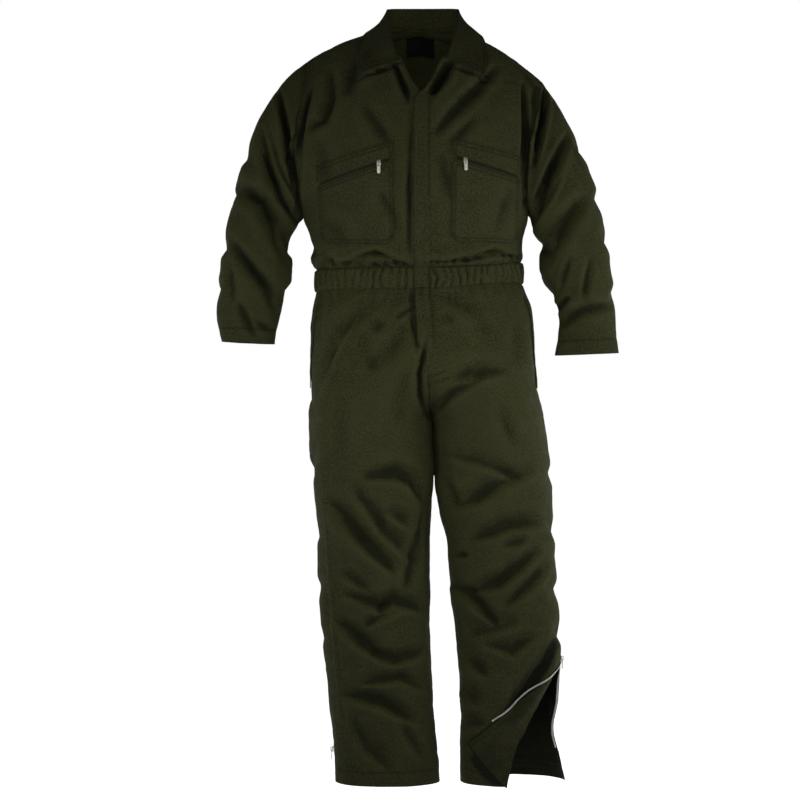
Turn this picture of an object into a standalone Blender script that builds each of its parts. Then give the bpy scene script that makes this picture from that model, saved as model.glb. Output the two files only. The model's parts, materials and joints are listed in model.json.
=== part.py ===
"""A men's work boiler suit in heavy twill, filled out with no wearer: its sewn pieces at their real size.

The front faces -Y and +X is the wearer's left. The origin is at the base of the neck, where a wearer holds the
suit up. Sizes in the tables are millimetres; meshes are written in metres. Each cut piece is a grid of points
read from smooth tables. Pieces that are sewn together share their seam points and their normals there, and each
is then pulled back from the seam by SEAM_INSET, so that walls never cross.
"""

import math
from collections import defaultdict

import bpy
import numpy as np
from mathutils import Matrix, Vector
from mathutils.bvhtree import BVHTree

MM = 0.001
RIGHT, LEFT = -1, 1  # the wearer's sides, and the signs of their x
FRONT, BACK = -1, 1  # the signs of their y

CLOTH = 2.0  # thickness of a twill wall with its turnings
TRIM = 1.6  # thickness of a pocket, placket or facing laid on a wall
TAPE = 1.2  # thickness of a zip tape
SEAM_INSET = 0.15  # each side of a seam, so two pieces are 0.3 apart
LAID_GAP = 0.9  # between a wall and what is laid on it
LEAST_GAP = 0.4  # what is left of it where the wall bends
ZIP_HALF_GAP = 4.0  # half the space between two edges that a zip joins
CHAIN_HALF = 3.6  # half the width of the closed zip between them
ACROSS = 10  # grid columns across a front panel
ROUND = 2.2  # superellipse power of the trouser rings

WAIST_Z = -451.0  # top edge of the waistband
BAND = 43.0  # depth of the waistband
GATHER_PITCH = 15.0
GATHER_HEIGHT = 2.8
WAIST_TILT = 16.0  # how much higher the waist is at the wearer's left side
CENTRE_X = -6.0  # centre front of the bodice

CROTCH_Z = -751.0
SEAT_Z = -571.0  # below it the trunk starts to part into two legs
FLY_END_Z = -615.0
HEM_Z = -1490.0
LEG_ZIP_TOP = -1244.0
LEG_ZIP_END = -1424.0
FOLD_START = 8.0  # the turned-back corner starts this far below the zip's top
FOLD_AT_HEM = 151.0  # its fold line meets the hem this far round from the side seam
CUT_AT_HEM = 55.0  # the front panel's cut edge meets the hem this far round
FOLD_LIFT = (1.4, 3.6)  # how far the turned-back corner stands off the leg, top and hem


def table(names, *rows):
    """Columns by name, from rows of numbers."""
    return dict(zip(names.split(), np.array(rows, float).T))


# Rows of the bodice. "level" counts them from the waist (0) past the armpit (3) and the foot of the neck opening
# (6) to the front collar point (8) and the shoulder seam (11). x is measured out from the centre line. "flat" is
# how squarely the row leaves that line.
FRONT_CENTRE = table(
    "level x y z flat",
    (0, 0, -107, -451, 1.0),
    (1, 0, -121, -432, 1.0),
    (2, 0, -134, -388, 1.0),
    (3, 0, -145, -330, 1.0),
    (4, 0, -151, -262, 1.0),
    (5, 0, -146, -200, 1.0),
    (6, 0, -130, -120, 1.0),
    (7, 20, -117, -80, 0.75),
    (8, 40, -101, -38, 0.5),
    (9, 63, -78, -16, 0.3),
    (10, 79, -38, 12, 0.1),
    (11, 88, 5, 38, 0.0),
)
BACK_CENTRE = table(
    "level x y z flat",
    (0, 0, 105, -451, 1.0),
    (1, 0, 122, -432, 1.0),
    (2, 0, 132, -388, 1.0),
    (3, 0, 140, -325, 1.0),
    (4, 0, 143, -255, 1.0),
    (5, 0, 142, -185, 1.0),
    (6, 0, 134, -112, 1.0),
    (7, 0, 119, -50, 0.9),
    (8, 0, 97, 8, 0.8),
    (9, 0, 76, 48, 0.6),
    (10, 60, 54, 48, 0.2),
    (11, 88, 5, 38, 0.0),
)
# The side seam up to the armpit, then the armhole. "half" is half the armhole's depth, and "turn" is how far the
# row ends running front to back instead of straight on.
SIDE_EDGE = {
    RIGHT: table(
        "level x z middle half turn",
        (0, -219, -451, 0, 0, 1.0),
        (1, -229, -430, 0, 0, 1.0),
        (2, -232, -388, 0, 0, 1.0),
        (3, -246, -343, 0, 0, 1.0),
        (4, -259, -288, 1, 50, 0.6),
        (5, -265, -226, 1, 61, 0.5),
        (6, -260, -172, 2, 61, 0.4),
        (7, -250, -128, 2, 53, 0.3),
        (8, -244, -90, 3, 40, 0.2),
        (9, -241, -60, 4, 26, 0.1),
        (10, -240, -38, 5, 12, 0.05),
        (11, -239, -24, 5, 0, 0.0),
    ),
    LEFT: table(
        "level x z middle half turn",
        (0, 198, -435, 0, 0, 1.0),
        (1, 200, -416, 0, 0, 1.0),
        (2, 202, -385, 0, 0, 1.0),
        (3, 212, -338, 0, 0, 1.0),
        (4, 206, -292, 1, 50, 0.6),
        (5, 208, -240, 1, 61, 0.5),
        (6, 212, -192, 2, 61, 0.4),
        (7, 221, -152, 2, 53, 0.3),
        (8, 230, -118, 3, 40, 0.2),
        (9, 237, -92, 4, 26, 0.1),
        (10, 241, -76, 5, 12, 0.05),
        (11, 243, -65, 5, 0, 0.0),
    ),
}
SHOULDER_ARCH = 12.0  # how far the shoulder seam bows up
LEVELS = [0, 0.5, 1, 1.6, 2.3, 3, 3.6, 4.3, 5.1, 6, 7, 8, 8.5, 9, 9.5, 10, 10.5, 11]
ARMPIT, NECK_POINT, BACK_NECK = LEVELS.index(3), LEVELS.index(8), LEVELS.index(9)
VEE = LEVELS.index(6)
OUTER_INSET = np.where(np.arange(len(LEVELS)) > ARMPIT, 3 * SEAM_INSET, SEAM_INSET)
NECK_EDGE_ROWS = [VEE + step for step in (0.3, 0.75, 1.25, 1.75)]

# Rings of the sleeves, from the armhole to the cuff: their outer and inner points seen from the front, half their
# depth, and the y of their middle.
SLEEVE = {
    RIGHT: table(
        "outer_x outer_z inner_x inner_z half middle",
        (-239, -24, -246, -343, 62, 0),
        (-271, -49, -251, -349, 67, 0),
        (-308, -92, -257, -356, 69, 0),
        (-339, -145, -263, -364, 68, 0),
        (-359, -200, -268, -376, 66, 0),
        (-375, -251, -271, -394, 64, -1),
        (-390, -306, -271, -415, 62, -3),
        (-402, -365, -268, -438, 60, -6),
        (-412, -432, -271, -468, 57, -10),
        (-419, -502, -284, -507, 52, -14),
        (-420, -547, -294, -548, 45, -18),
        (-416, -575, -300, -577, 41, -20),
        (-410, -596, -303, -601, 38, -22),
    ),
    LEFT: table(
        "outer_x outer_z inner_x inner_z half middle",
        (243, -65, 212, -338, 62, 0),
        (259, -89, 216, -346, 67, 0),
        (278, -119, 219, -356, 69, 0),
        (298, -159, 223, -369, 68, 0),
        (318, -204, 229, -386, 66, 0),
        (337, -251, 235, -402, 64, -1),
        (353, -302, 237, -420, 62, -3),
        (367, -363, 235, -447, 58, -6),
        (377, -432, 245, -478, 54, -10),
        (384, -494, 260, -506, 48, -14),
        (387, -541, 272, -539, 40, -18),
        (391, -588, 271, -580, 31, -20),
        (395, -619, 266, -624, 26, -22),
    ),
}

# The trousers seen from the front: outer edges, the middle line, and the two inner edges below the crotch.
TROUSERS_ACROSS = table(
    "z right_out middle left_out right_in left_in",
    (-1490, -181, 55, 289, 33, 73),
    (-1448, -183, 52, 280, 30, 73),
    (-1387, -188, 47, 269, 23, 73),
    (-1326, -194, 45, 272, 19, 73),
    (-1285, -198, 44, 277, 17, 72),
    (-1224, -204, 40, 278, 15, 67),
    (-1163, -210, 36, 277, 13, 60),
    (-1122, -214, 33, 273, 13, 55),
    (-1061, -217, 32, 268, 13, 51),
    (-1000, -218, 30, 266, 13, 46),
    (-959, -219, 26, 264, 14, 36),
    (-918, -222, 22, 261, 16, 28),
    (-875, -227, 20, 259, 19, 21.5),
    (-836, -231, 18, 255, 17, 19.2),
    (-796, -233, 15, 251, 14, 16.2),
    (-751, -234, 13, 244, 13, 13),
    (-714, -233, 10, 236, 10, 10),
    (-673, -231, 7, 229, 7, 7),
    (-612, -232, 2, 223, 2, 2),
    (-571, -232, -1, 222, -1, -1),
    (-540, -229, -3, 219, -3, -3),
    (-515, -224, -5, 211, -5, -5),
    (-494, -219, -6, 198, -6, -6),
)
# and from the side: how far the front and the back stand out from the side seams.
TROUSERS_DEEP = table(
    "z front back",
    (-1490, 59, 57),
    (-1326, 67, 63),
    (-1122, 84, 76),
    (-979, 97, 92),
    (-875, 110, 108),
    (-820, 119, 122),
    (-751, 130, 138),
    (-680, 136, 146),
    (-600, 131, 139),
    (-530, 118, 121),
    (-494, 107, 106),
)
CROTCH_ANGLES = (90, 66, 44, 24, 0)  # rows on the crotch curve, from the seat down
TROUSER_ROWS = (
    [-494, -515, -540]
    + [SEAT_Z + (CROTCH_Z - SEAT_Z) * math.cos(math.radians(a)) for a in CROTCH_ANGLES]
    + [-772, -805, -840, -875, -912, -950, -988, -1026, -1064, -1104, -1150, -1197]
    + [LEG_ZIP_TOP, LEG_ZIP_TOP - FOLD_START, -1285, -1326, -1367, -1408, -1449, HEM_Z]
)

CROTCH_ROW = 2 + len(CROTCH_ANGLES)
ZIP_ROW = TROUSER_ROWS.index(LEG_ZIP_TOP)
# How far the wearer's left front falls in from the side seam below its open zip.
PARTED = table(
    "z inward",
    (-1490, 4),
    (-1449, 13),
    (-1408, 20),
    (-1340, 27),
    (-1300, 25),
    (-1265, 13),
    (-1244, 0),
    (-1000, 0),
    (-400, 0),
)

# The largest folds, as troughs pressed into the cloth: both ends, half-width and depth.
FOLD_COLUMNS = "x1 z1 x2 z2 wide deep"
BODICE_FRONT_FOLDS = table(
    FOLD_COLUMNS,
    (-198, -55, -190, -125, 25, 8),
    (-190, -135, -216, -169, 22, 6),
    (118, -90, 69, -159, 32, 10),
    (37, -147, 3, -235, 20, 5),
    (-150, -425, -60, -432, 25, 8),
    (60, -425, 165, -418, 25, 10),
    (-225, -330, -150, -400, 35, 6),
    (190, -320, 120, -395, 35, 6),
)
BODICE_BACK_FOLDS = table(
    FOLD_COLUMNS,
    (-190, -90, -120, -170, 35, 10),
    (175, -110, 110, -190, 32, 10),
    (-215, -310, -120, -390, 38, 10),
    (195, -300, 95, -385, 38, 10),
    (-120, -425, 20, -430, 28, 10),
    (70, -424, 165, -420, 25, 8),
    (-60, -60, 55, -70, 38, 5),
)
SLEEVE_FOLDS = {
    RIGHT: table(
        FOLD_COLUMNS,
        (-262, -85, -272, -205, 18, 11),
        (-290, -95, -281, -215, 16, 10),
        (-330, -172, -298, -283, 25, 11),
        (-298, -283, -271, -345, 22, 11),
        (-364, -287, -310, -351, 30, 14),
        (-310, -351, -271, -431, 28, 13),
        (-392, -415, -330, -482, 28, 11),
        (-392, -505, -330, -565, 25, 10),
    ),
    LEFT: table(
        FOLD_COLUMNS,
        (252, -110, 236, -200, 19, 13),
        (279, -192, 238, -300, 22, 11),
        (308, -317, 275, -341, 32, 11),
        (275, -341, 238, -440, 30, 13),
        (374, -521, 300, -516, 22, 11),
        (355, -556, 290, -548, 20, 8),
        (300, -192, 324, -242, 15, 5),
        (360, -400, 290, -440, 35, 8),
    ),
}
TROUSER_FRONT_FOLDS = table(
    FOLD_COLUMNS,
    (-114, -537, -177, -562, 25, 10),
    (-110, -596, -69, -629, 30, 10),
    (-21, -537, -53, -554, 18, 6),
    (49, -519, 122, -576, 22, 8),
    (12, -747, 73, -675, 32, 13),
    (10, -757, -45, -700, 30, 10),
    (-101, -863, 7, -907, 30, 13),
    (175, -863, 124, -885, 28, 10),
    (124, -885, 53, -931, 28, 13),
    (-178, -950, -136, -1002, 30, 13),
    (-136, -1002, -78, -1042, 30, 13),
    (229, -960, 159, -986, 28, 10),
    (159, -986, 96, -1034, 28, 13),
    (210, -1031, 84, -1094, 25, 11),
    (-127, -1152, -26, -1122, 28, 13),
    (-156, -1174, -101, -1212, 25, 11),
    (-101, -1212, -41, -1226, 25, 10),
    (-141, -1316, -89, -1334, 22, 11),
    (-89, -1334, -49, -1375, 25, 11),
    (-171, -1360, -141, -1424, 22, 10),
    (67, -1100, 123, -1144, 25, 8),
    (261, -1182, 215, -1238, 28, 10),
)
TROUSER_BACK_FOLDS = table(
    FOLD_COLUMNS,
    (13, -760, 95, -800, 32, 14),
    (11, -760, -75, -805, 32, 14),
    (30, -700, 120, -640, 35, 8),
    (-10, -690, -110, -640, 35, 8),
    (-60, -840, -190, -880, 32, 11),
    (70, -850, 200, -895, 32, 11),
    (-190, -1010, -60, -1050, 30, 14),
    (215, -1000, 90, -1060, 30, 14),
    (-25, -1110, -150, -1090, 28, 13),
    (90, -1120, 230, -1105, 28, 13),
    (-170, -1180, -60, -1215, 28, 10),
    (240, -1190, 120, -1225, 28, 10),
    (-40, -1300, -140, -1345, 25, 10),
    (110, -1330, 215, -1360, 25, 10),
)

# The collar, from its front end (0) round the neck to the centre back (1): how its fold stands over the neck
# seam, and where its outer edge lies. x is measured out from the centre.
COLLAR = table(
    "way fold_x fold_y fold_z edge_x edge_y edge_z",
    (0.00, 45, -104, -36, 121, -92, -68),
    (0.18, 56, -88, -10, 128, -60, -32),
    (0.36, 64, -48, 30, 127, -28, 4),
    (0.54, 70, 6, 66, 114, 4, 31),
    (0.68, 72, 42, 92, 94, 48, 33),
    (0.82, 56, 62, 98, 60, 82, 36),
    (1.00, 0, 66, 99, 0, 95, 38),
)
COLLAR_ROLL = 2.2  # how far the fold rolls above its line

# Chest pockets: the zip mouth slants, and the lower corners are cut off.
POCKET = {
    RIGHT: dict(inner=-61, outer=-214, foot=-205, top=(-207, -250), mouth=(-242, -288), bottom=(-410, -402)),
    LEFT: dict(inner=52, outer=191, foot=184, top=(-203, -230), mouth=(-239, -272), bottom=(-404, -402)),
}
MOUTH_HALF = 4.0  # half the height of the zip mouth
MOUTH_START = 0.06  # the zip starts this share of the width in from the inner edge
PULL_AT = 0.19
CORNER = 14.0  # cut-off corner

SLIDER = (8.0, 11.0, 2.6)  # across, along, thickness
BAIL = dict(half=0.8, foot=3.0, reach=4.6, height=3.9, roof=1.3)
TAB = dict(width=6.4, length=21.0, thick=1.2, bar=0.6, hole_half=2.0, hole_end=-7.0)

# The colours and finishes of the solids.
FINISH = {
    "twill": ((0.029, 0.031, 0.012), 0.85, 0.0),
    "zip_tape": ((0.012, 0.013, 0.010), 0.8, 0.0),
    "zip_metal": ((0.55, 0.53, 0.47), 0.35, 0.9),
    "zip_pull": ((0.70, 0.68, 0.58), 0.5, 0.2),
    "label": ((0.006, 0.006, 0.008), 0.7, 0.0),
}


def smooth(at, keys, values):
    """Monotone cubic through the rows (keys, values), so nothing overshoots between two rows."""
    step = np.diff(keys)
    slope = np.diff(values) / step
    tangent = np.zeros(len(keys))
    tangent[0], tangent[-1] = slope[0], slope[-1]
    for i in range(1, len(step)):
        before, after = slope[i - 1], slope[i]
        if before * after > 0:
            near, far = 2 * step[i] + step[i - 1], step[i] + 2 * step[i - 1]
            tangent[i] = (near + far) / (near / before + far / after)
    i = int(np.clip(np.searchsorted(keys, at) - 1, 0, len(step) - 1))
    t = (at - keys[i]) / step[i]
    start = (1 + 2 * t) * (1 - t) ** 2 * values[i] + t * (1 - t) ** 2 * step[i] * tangent[i]
    end = t * t * (3 - 2 * t) * values[i + 1] + t * t * (t - 1) * step[i] * tangent[i + 1]
    return float(start + end)


def read(rows, at, *names):
    """Values of the named columns at a value of the table's first column."""
    keys = next(iter(rows.values()))
    return [smooth(at, keys, rows[name]) for name in names]


def unit(vectors):
    lengths = np.linalg.norm(vectors, axis=-1, keepdims=True)
    return vectors / np.where(lengths < 1e-9, 1.0, lengths)


def ease(t):
    t = min(max(t, 0.0), 1.0)
    return t * t * (3 - 2 * t)


# --- Grids of points -------------------------------------------------------------------------------------------


def seam_normals(sheets):
    """Outward normals for every grid in sheets, {name: (points, way, limb)}, where way is 1 if columns crossed
    with rows point outward. Each limb is one smooth surface, and where two limbs meet both count the same."""
    total = defaultdict(lambda: defaultdict(lambda: np.zeros(3)))
    for points, way, limb in sheets.values():
        crossed = np.cross(points[1:, 1:] - points[:-1, :-1], points[:-1, 1:] - points[1:, :-1]) * way
        for (i, j), _ in np.ndenumerate(crossed[..., 0]):
            for corner in ((i, j), (i + 1, j), (i + 1, j + 1), (i, j + 1)):
                total[place(points[corner])][limb] += crossed[i, j]
    return {
        name: unit(np.array([[sum(map(unit, total[place(p)].values())) for p in column] for column in points]))
        for name, (points, _, _) in sheets.items()
    }


def place(point):
    return tuple(np.round(point, 3) + 0.0)


def pressed(points, normals, folds, kept=1.0):
    """The grid with each fold's trough pressed in along its normals. kept is the share of it at each point."""
    x, z = points[..., 0], points[..., 2]
    depth = np.zeros(x.shape)
    for x1, z1, x2, z2, wide, deep in zip(*folds.values()):
        run = np.array([x2 - x1, z2 - z1])
        along = np.clip(((x - x1) * run[0] + (z - z1) * run[1]) / (run @ run), 0, 1)
        away = np.hypot(x - x1 - along * run[0], z - z1 - along * run[1])
        depth += deep * np.exp(-((away / wide) ** 2)) * (0.45 + 0.55 * np.sin(np.pi * along))
    return points - normals * (depth * kept)[..., None]


def wall(points, normals, thickness=CLOTH, lift=0.0):
    """(outer, inner) grids of a wall whose outer side is the given points, lifted."""
    return points + normals * lift, points + normals * (lift - thickness)


def drawn_in(sides, start=None, end=None, first=None, last=None):
    """The wall with its edges pulled back: start and end are the first and last columns, and first and last the
    first and last rows. A number or one number for each point of the edge."""
    moved = []
    for grid in sides:
        grid = grid.copy()
        for amount, edge, inside in ((start, 0, 1), (end, -1, -2)):
            if amount is not None:
                amounts = np.broadcast_to(np.reshape(amount, (-1, 1)), grid[edge].shape)
                grid[edge] += unit(grid[inside] - grid[edge]) * amounts
        for amount, edge, inside in ((first, 0, 1), (last, -1, -2)):
            if amount is not None:
                grid[:, edge] += unit(grid[:, inside] - grid[:, edge]) * amount
        moved.append(grid)
    return tuple(moved)


def triangles(grid):
    """Two triangles a cell, as places in the grid, split along the shorter diagonal."""
    found = []
    for i, j in np.ndindex(grid.shape[0] - 1, grid.shape[1] - 1):
        a, b, c, d = (i, j), (i + 1, j), (i + 1, j + 1), (i, j + 1)
        if np.linalg.norm(grid[a] - grid[c]) <= np.linalg.norm(grid[b] - grid[d]) + 1e-6:
            found += [(a, b, c), (a, c, d)]
        else:
            found += [(a, b, d), (b, c, d)]
    return found


def shell(name, finish, *patches):
    """One closed body from walls of (outer, inner) grids that share the points of their common edges."""
    found, outer, inner, faces = {}, [], [], []
    for out, into in patches:
        index = np.empty(out.shape[:2], int)
        for at in np.ndindex(index.shape):
            key = place(out[at])
            if key not in found:
                found[key] = len(outer)
                outer.append(out[at])
                inner.append(into[at])
            index[at] = found[key]
        crossed = np.cross(out[1:, 1:] - out[:-1, :-1], out[:-1, 1:] - out[1:, :-1])
        facing = (crossed * (out - into)[:-1, :-1]).sum() > 0
        for triangle in triangles(out):
            corners = [index[at] for at in triangle]
            if len(set(corners)) == 3:
                faces.append(corners if facing else corners[::-1])
    edges = {(f[k - 1], f[k]) for f in faces for k in range(len(f))}
    count = len(outer)
    rims = [(b, a, a + count, b + count) for a, b in edges if (b, a) not in edges]
    behind = [[c + count for c in reversed(f)] for f in faces]
    return solid(name, finish, outer + inner, faces + behind + sorted(rims))


def material(name, finish):
    """A material of an object's own, with the colour, roughness and metal of its finish."""
    colour, rough, metal = FINISH[finish]
    made = bpy.data.materials.new(name)
    made.use_nodes = True
    shader = made.node_tree.nodes["Principled BSDF"]
    shader.inputs["Base Color"].default_value = (*colour, 1)
    shader.inputs["Roughness"].default_value = rough
    shader.inputs["Metallic"].default_value = metal
    made.diffuse_color = (*colour, 1)
    return made


def solid(name, finish, points, faces):
    mesh = bpy.data.meshes.new(name)
    mesh.from_pydata([Vector(p) * MM for p in points], [], [[int(c) for c in f] for f in faces])
    mesh.validate()
    mesh.shade_smooth()
    mesh.set_sharp_from_angle(angle=math.radians(30))
    mesh.materials.append(material(name, finish))
    made = bpy.data.objects.new(name, mesh)
    bpy.context.scene.collection.objects.link(made)
    return made


def along(line, distance):
    """The point of a polyline at a distance from its start."""
    lengths = np.linalg.norm(np.diff(line, axis=0), axis=1)
    reached = np.concatenate([[0], np.cumsum(lengths)])
    return np.array([np.interp(distance, reached, line[:, axis]) for axis in range(line.shape[1])])


def length_of(line):
    return float(np.linalg.norm(np.diff(line, axis=0), axis=1).sum())


def spread(line, count, reach=None):
    """count + 1 points at even distances along a polyline, over its first reach millimetres or all of it."""
    reach = length_of(line) if reach is None else reach
    return np.array([along(line, reach * k / count) for k in range(count + 1)])


# --- Bodice ----------------------------------------------------------------------------------------------------


def bodice_point(side, face, u, level):
    """A point of the bodice: u runs from the centre line or neckline (0) to the side seam or armhole (1)."""
    centre = FRONT_CENTRE if face == FRONT else BACK_CENTRE
    x, y, z, flat = read(centre, level, "x", "y", "z", "flat")
    start = np.array([CENTRE_X + side * x, y, z])
    x, z, middle, half, turn = read(SIDE_EDGE[side], level, "x", "z", "middle", "half", "turn")
    end = np.array([x, middle + face * half, z])
    chord = end - start
    reach = np.linalg.norm(chord)
    leave = unit(flat * np.array([side, 0.0, 0.0]) + (1 - flat) * chord / reach)
    arrive = unit(turn * np.array([0.0, -face, 0.0]) + (1 - turn) * chord / reach)
    first = (turn * 0.60 * abs(chord[0]) + (1 - turn) * 0.34 * reach) * leave
    last = (turn * 0.58 * abs(chord[1]) + (1 - turn) * 0.34 * reach) * arrive
    arch = np.array([0, 0, SHOULDER_ARCH * ease((level - 8) / 3)])
    p1, p2 = start + first + arch, end - last + arch
    v = 1 - u
    return v**3 * start + 3 * v * v * u * p1 + 3 * v * u * u * p2 + u**3 * end


def bodice_grid(side, face):
    """Columns from the centre to the side, rows from the waist to the shoulder."""
    return np.array([[bodice_point(side, face, i / ACROSS, level) for level in LEVELS] for i in range(ACROSS + 1)])


def sleeve_grid(side, front, back):
    """Columns round the sleeve from the armpit over the front, the shoulder and the back; rows to the cuff."""
    loop = np.concatenate([front[-1, ARMPIT:], back[-1, ARMPIT:-1][::-1]])
    count = len(loop) - 1
    rings = []
    for outer_x, outer_z, inner_x, inner_z, half, middle in zip(*SLEEVE[side].values()):
        outer, inner = np.array([outer_x, middle, outer_z]), np.array([inner_x, middle, inner_z])
        centre, reach = (outer + inner) / 2, (outer - inner) / 2
        turns = [2 * math.pi * k / count for k in range(count + 1)]
        rings.append([centre - reach * math.cos(t) - np.array([0, half * math.sin(t), 0]) for t in turns])
    rings = np.array(rings)
    left_over = loop - rings[0]
    for k, share in enumerate((1.0, 0.8, 0.5, 0.25, 0.1)):
        rings[k] += left_over * share
    rings[:, -1] = rings[:, 0]
    return rings.transpose(1, 0, 2)


# --- Trousers --------------------------------------------------------------------------------------------------


def trouser_point(side, face, u, z):
    """A point of the trousers: u runs from the centre line or inseam (0) to the side seam (1)."""
    names = ("right_out", "middle", "right_in") if side == RIGHT else ("left_out", "middle", "left_in")
    outer, middle, inner = read(TROUSERS_ACROSS, z, *names)
    deep = read(TROUSERS_DEEP, z, "front" if face == FRONT else "back")[0]
    if side == LEFT and face == FRONT:
        outer -= read(PARTED, z, "inward")[0]
    joined = 1 - (1 - min(max((z - CROTCH_Z) / (SEAT_Z - CROTCH_Z), 0), 1) ** 1.5) ** 2
    if joined > 0:
        half = abs(outer - middle) / (2 - joined)
        centre = middle + side * half * (1 - joined)
    else:
        half, centre = abs(outer - inner) / 2, (outer + inner) / 2
    last_turn = math.acos(-((1 - joined) ** (ROUND / 2)))
    turn = last_turn * (1 - u)
    c, s = math.cos(turn), math.sin(turn)
    x = centre + side * half * math.copysign(abs(c) ** (2 / ROUND), c)
    y = face * deep * max(s, 0.0) ** (2 / ROUND)
    if u == 0 and joined == 0:
        x, y = centre - side * half, 0.0
    if u == 0 and joined > 0:
        x = middle
    tilt = WAIST_TILT * ease((x - CENTRE_X) / 203) * ease((z + 600) / 106)
    return np.array([x, y, z + tilt])


def trouser_grid(side, face):
    """Columns from the centre to the side seam, rows from the waist to the hem."""
    return np.array([[trouser_point(side, face, i / ACROSS, z) for z in TROUSER_ROWS] for i in range(ACROSS + 1)])


class Leg:
    """A trouser panel unrolled: places on it by distance from the side seam and height."""

    def __init__(self, points, normals):
        self.points, self.normals = points[::-1], normals[::-1]

    def at(self, distance, z, lift=0.0):
        """(point, normal) at a distance round from the side seam, at height z."""
        row = float(np.interp(-z, [-h for h in TROUSER_ROWS], range(len(TROUSER_ROWS))))
        low = min(int(row), len(TROUSER_ROWS) - 2)
        both = np.concatenate([self.points, self.normals], axis=2)
        lines = [both[:, low], both[:, low + 1]]
        found = [along_place(line, distance) for line in lines]
        mixed = found[0] * (1 - row + low) + found[1] * (row - low)
        normal = unit(mixed[3:])
        return mixed[:3] + normal * lift, normal


def along_place(line, distance):
    """Like along(), for rows of point and normal, where only the points are measured."""
    lengths = np.linalg.norm(np.diff(line[:, :3], axis=0), axis=1)
    reached = np.concatenate([[0], np.cumsum(lengths)])
    return np.array([np.interp(distance, reached, line[:, axis]) for axis in range(line.shape[1])])


def turned_back_panel(points, normals):
    """The wearer's left trouser front: below the open zip its outer corner is folded out over the leg. Returns
    the main wall and the folded one, which share the fold line, then the place of a point of the corner before
    its fold, and how far the corner stands off the leg."""
    leg = Leg(points, normals)
    first = TROUSER_ROWS.index(LEG_ZIP_TOP - FOLD_START)
    drop = LEG_ZIP_TOP - HEM_Z
    fold = unit(np.array([FOLD_AT_HEM, -drop]))
    beyond = np.array([fold[1], -fold[0]])

    def share(z):
        return (LEG_ZIP_TOP - z) / drop

    def lift(z):
        return FOLD_LIFT[0] + (FOLD_LIFT[1] - FOLD_LIFT[0]) * share(z)

    def reflected(distance, z):
        q = np.array([distance, z - LEG_ZIP_TOP])
        q = 2 * (q @ fold) * fold - q
        return leg.at(q[0], q[1] + LEG_ZIP_TOP)

    main, main_normals = points.copy(), normals.copy()
    both = np.concatenate([points, normals], axis=2)
    for row in range(first, len(TROUSER_ROWS)):
        line = both[:, row]
        kept = length_of(line[:, :3]) - FOLD_AT_HEM * share(TROUSER_ROWS[row])
        for i in range(ACROSS + 1):
            found = along_place(line, kept * i / ACROSS)
            main[i, row], main_normals[i, row] = found[:3], unit(found[3:])
    outer, inner = wall(main, main_normals)
    roll_outer, roll_inner = [], []
    for row in range(first, len(TROUSER_ROWS)):
        z = TROUSER_ROWS[row]
        gap = lift(z)
        place_at, normal = main[-1, row], main_normals[-1, row]
        inward = unit(leg.at(FOLD_AT_HEM * share(z) + 4, z)[0] - place_at)
        away = unit(beyond[0] * inward + beyond[1] * np.array([0, 0, 1.0]))
        line_out, line_in = [outer[-1, row]], [inner[-1, row]]
        for angle in (50, 90, 130):
            c, s = math.cos(math.radians(angle)), math.sin(math.radians(angle))
            centre = place_at + normal * gap / 2
            line_out.append(centre + (away * s - normal * c) * gap / 2)
            line_in.append(centre + (away * s - normal * c) * (gap / 2 + CLOTH))
        for k in range(7):
            distance = share(z) * (FOLD_AT_HEM + (CUT_AT_HEM - FOLD_AT_HEM) * k / 6)
            point, normal = reflected(distance, z)
            line_out.append(point + normal * gap)
            line_in.append(point + normal * (gap + CLOTH))
        roll_outer.append(line_out)
        roll_inner.append(line_in)
    turned = (np.array(roll_outer).transpose(1, 0, 2), np.array(roll_inner).transpose(1, 0, 2))
    return (outer, inner), turned, reflected, lift


# --- Pieces laid on a panel ------------------------------------------------------------------------------------


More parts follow.
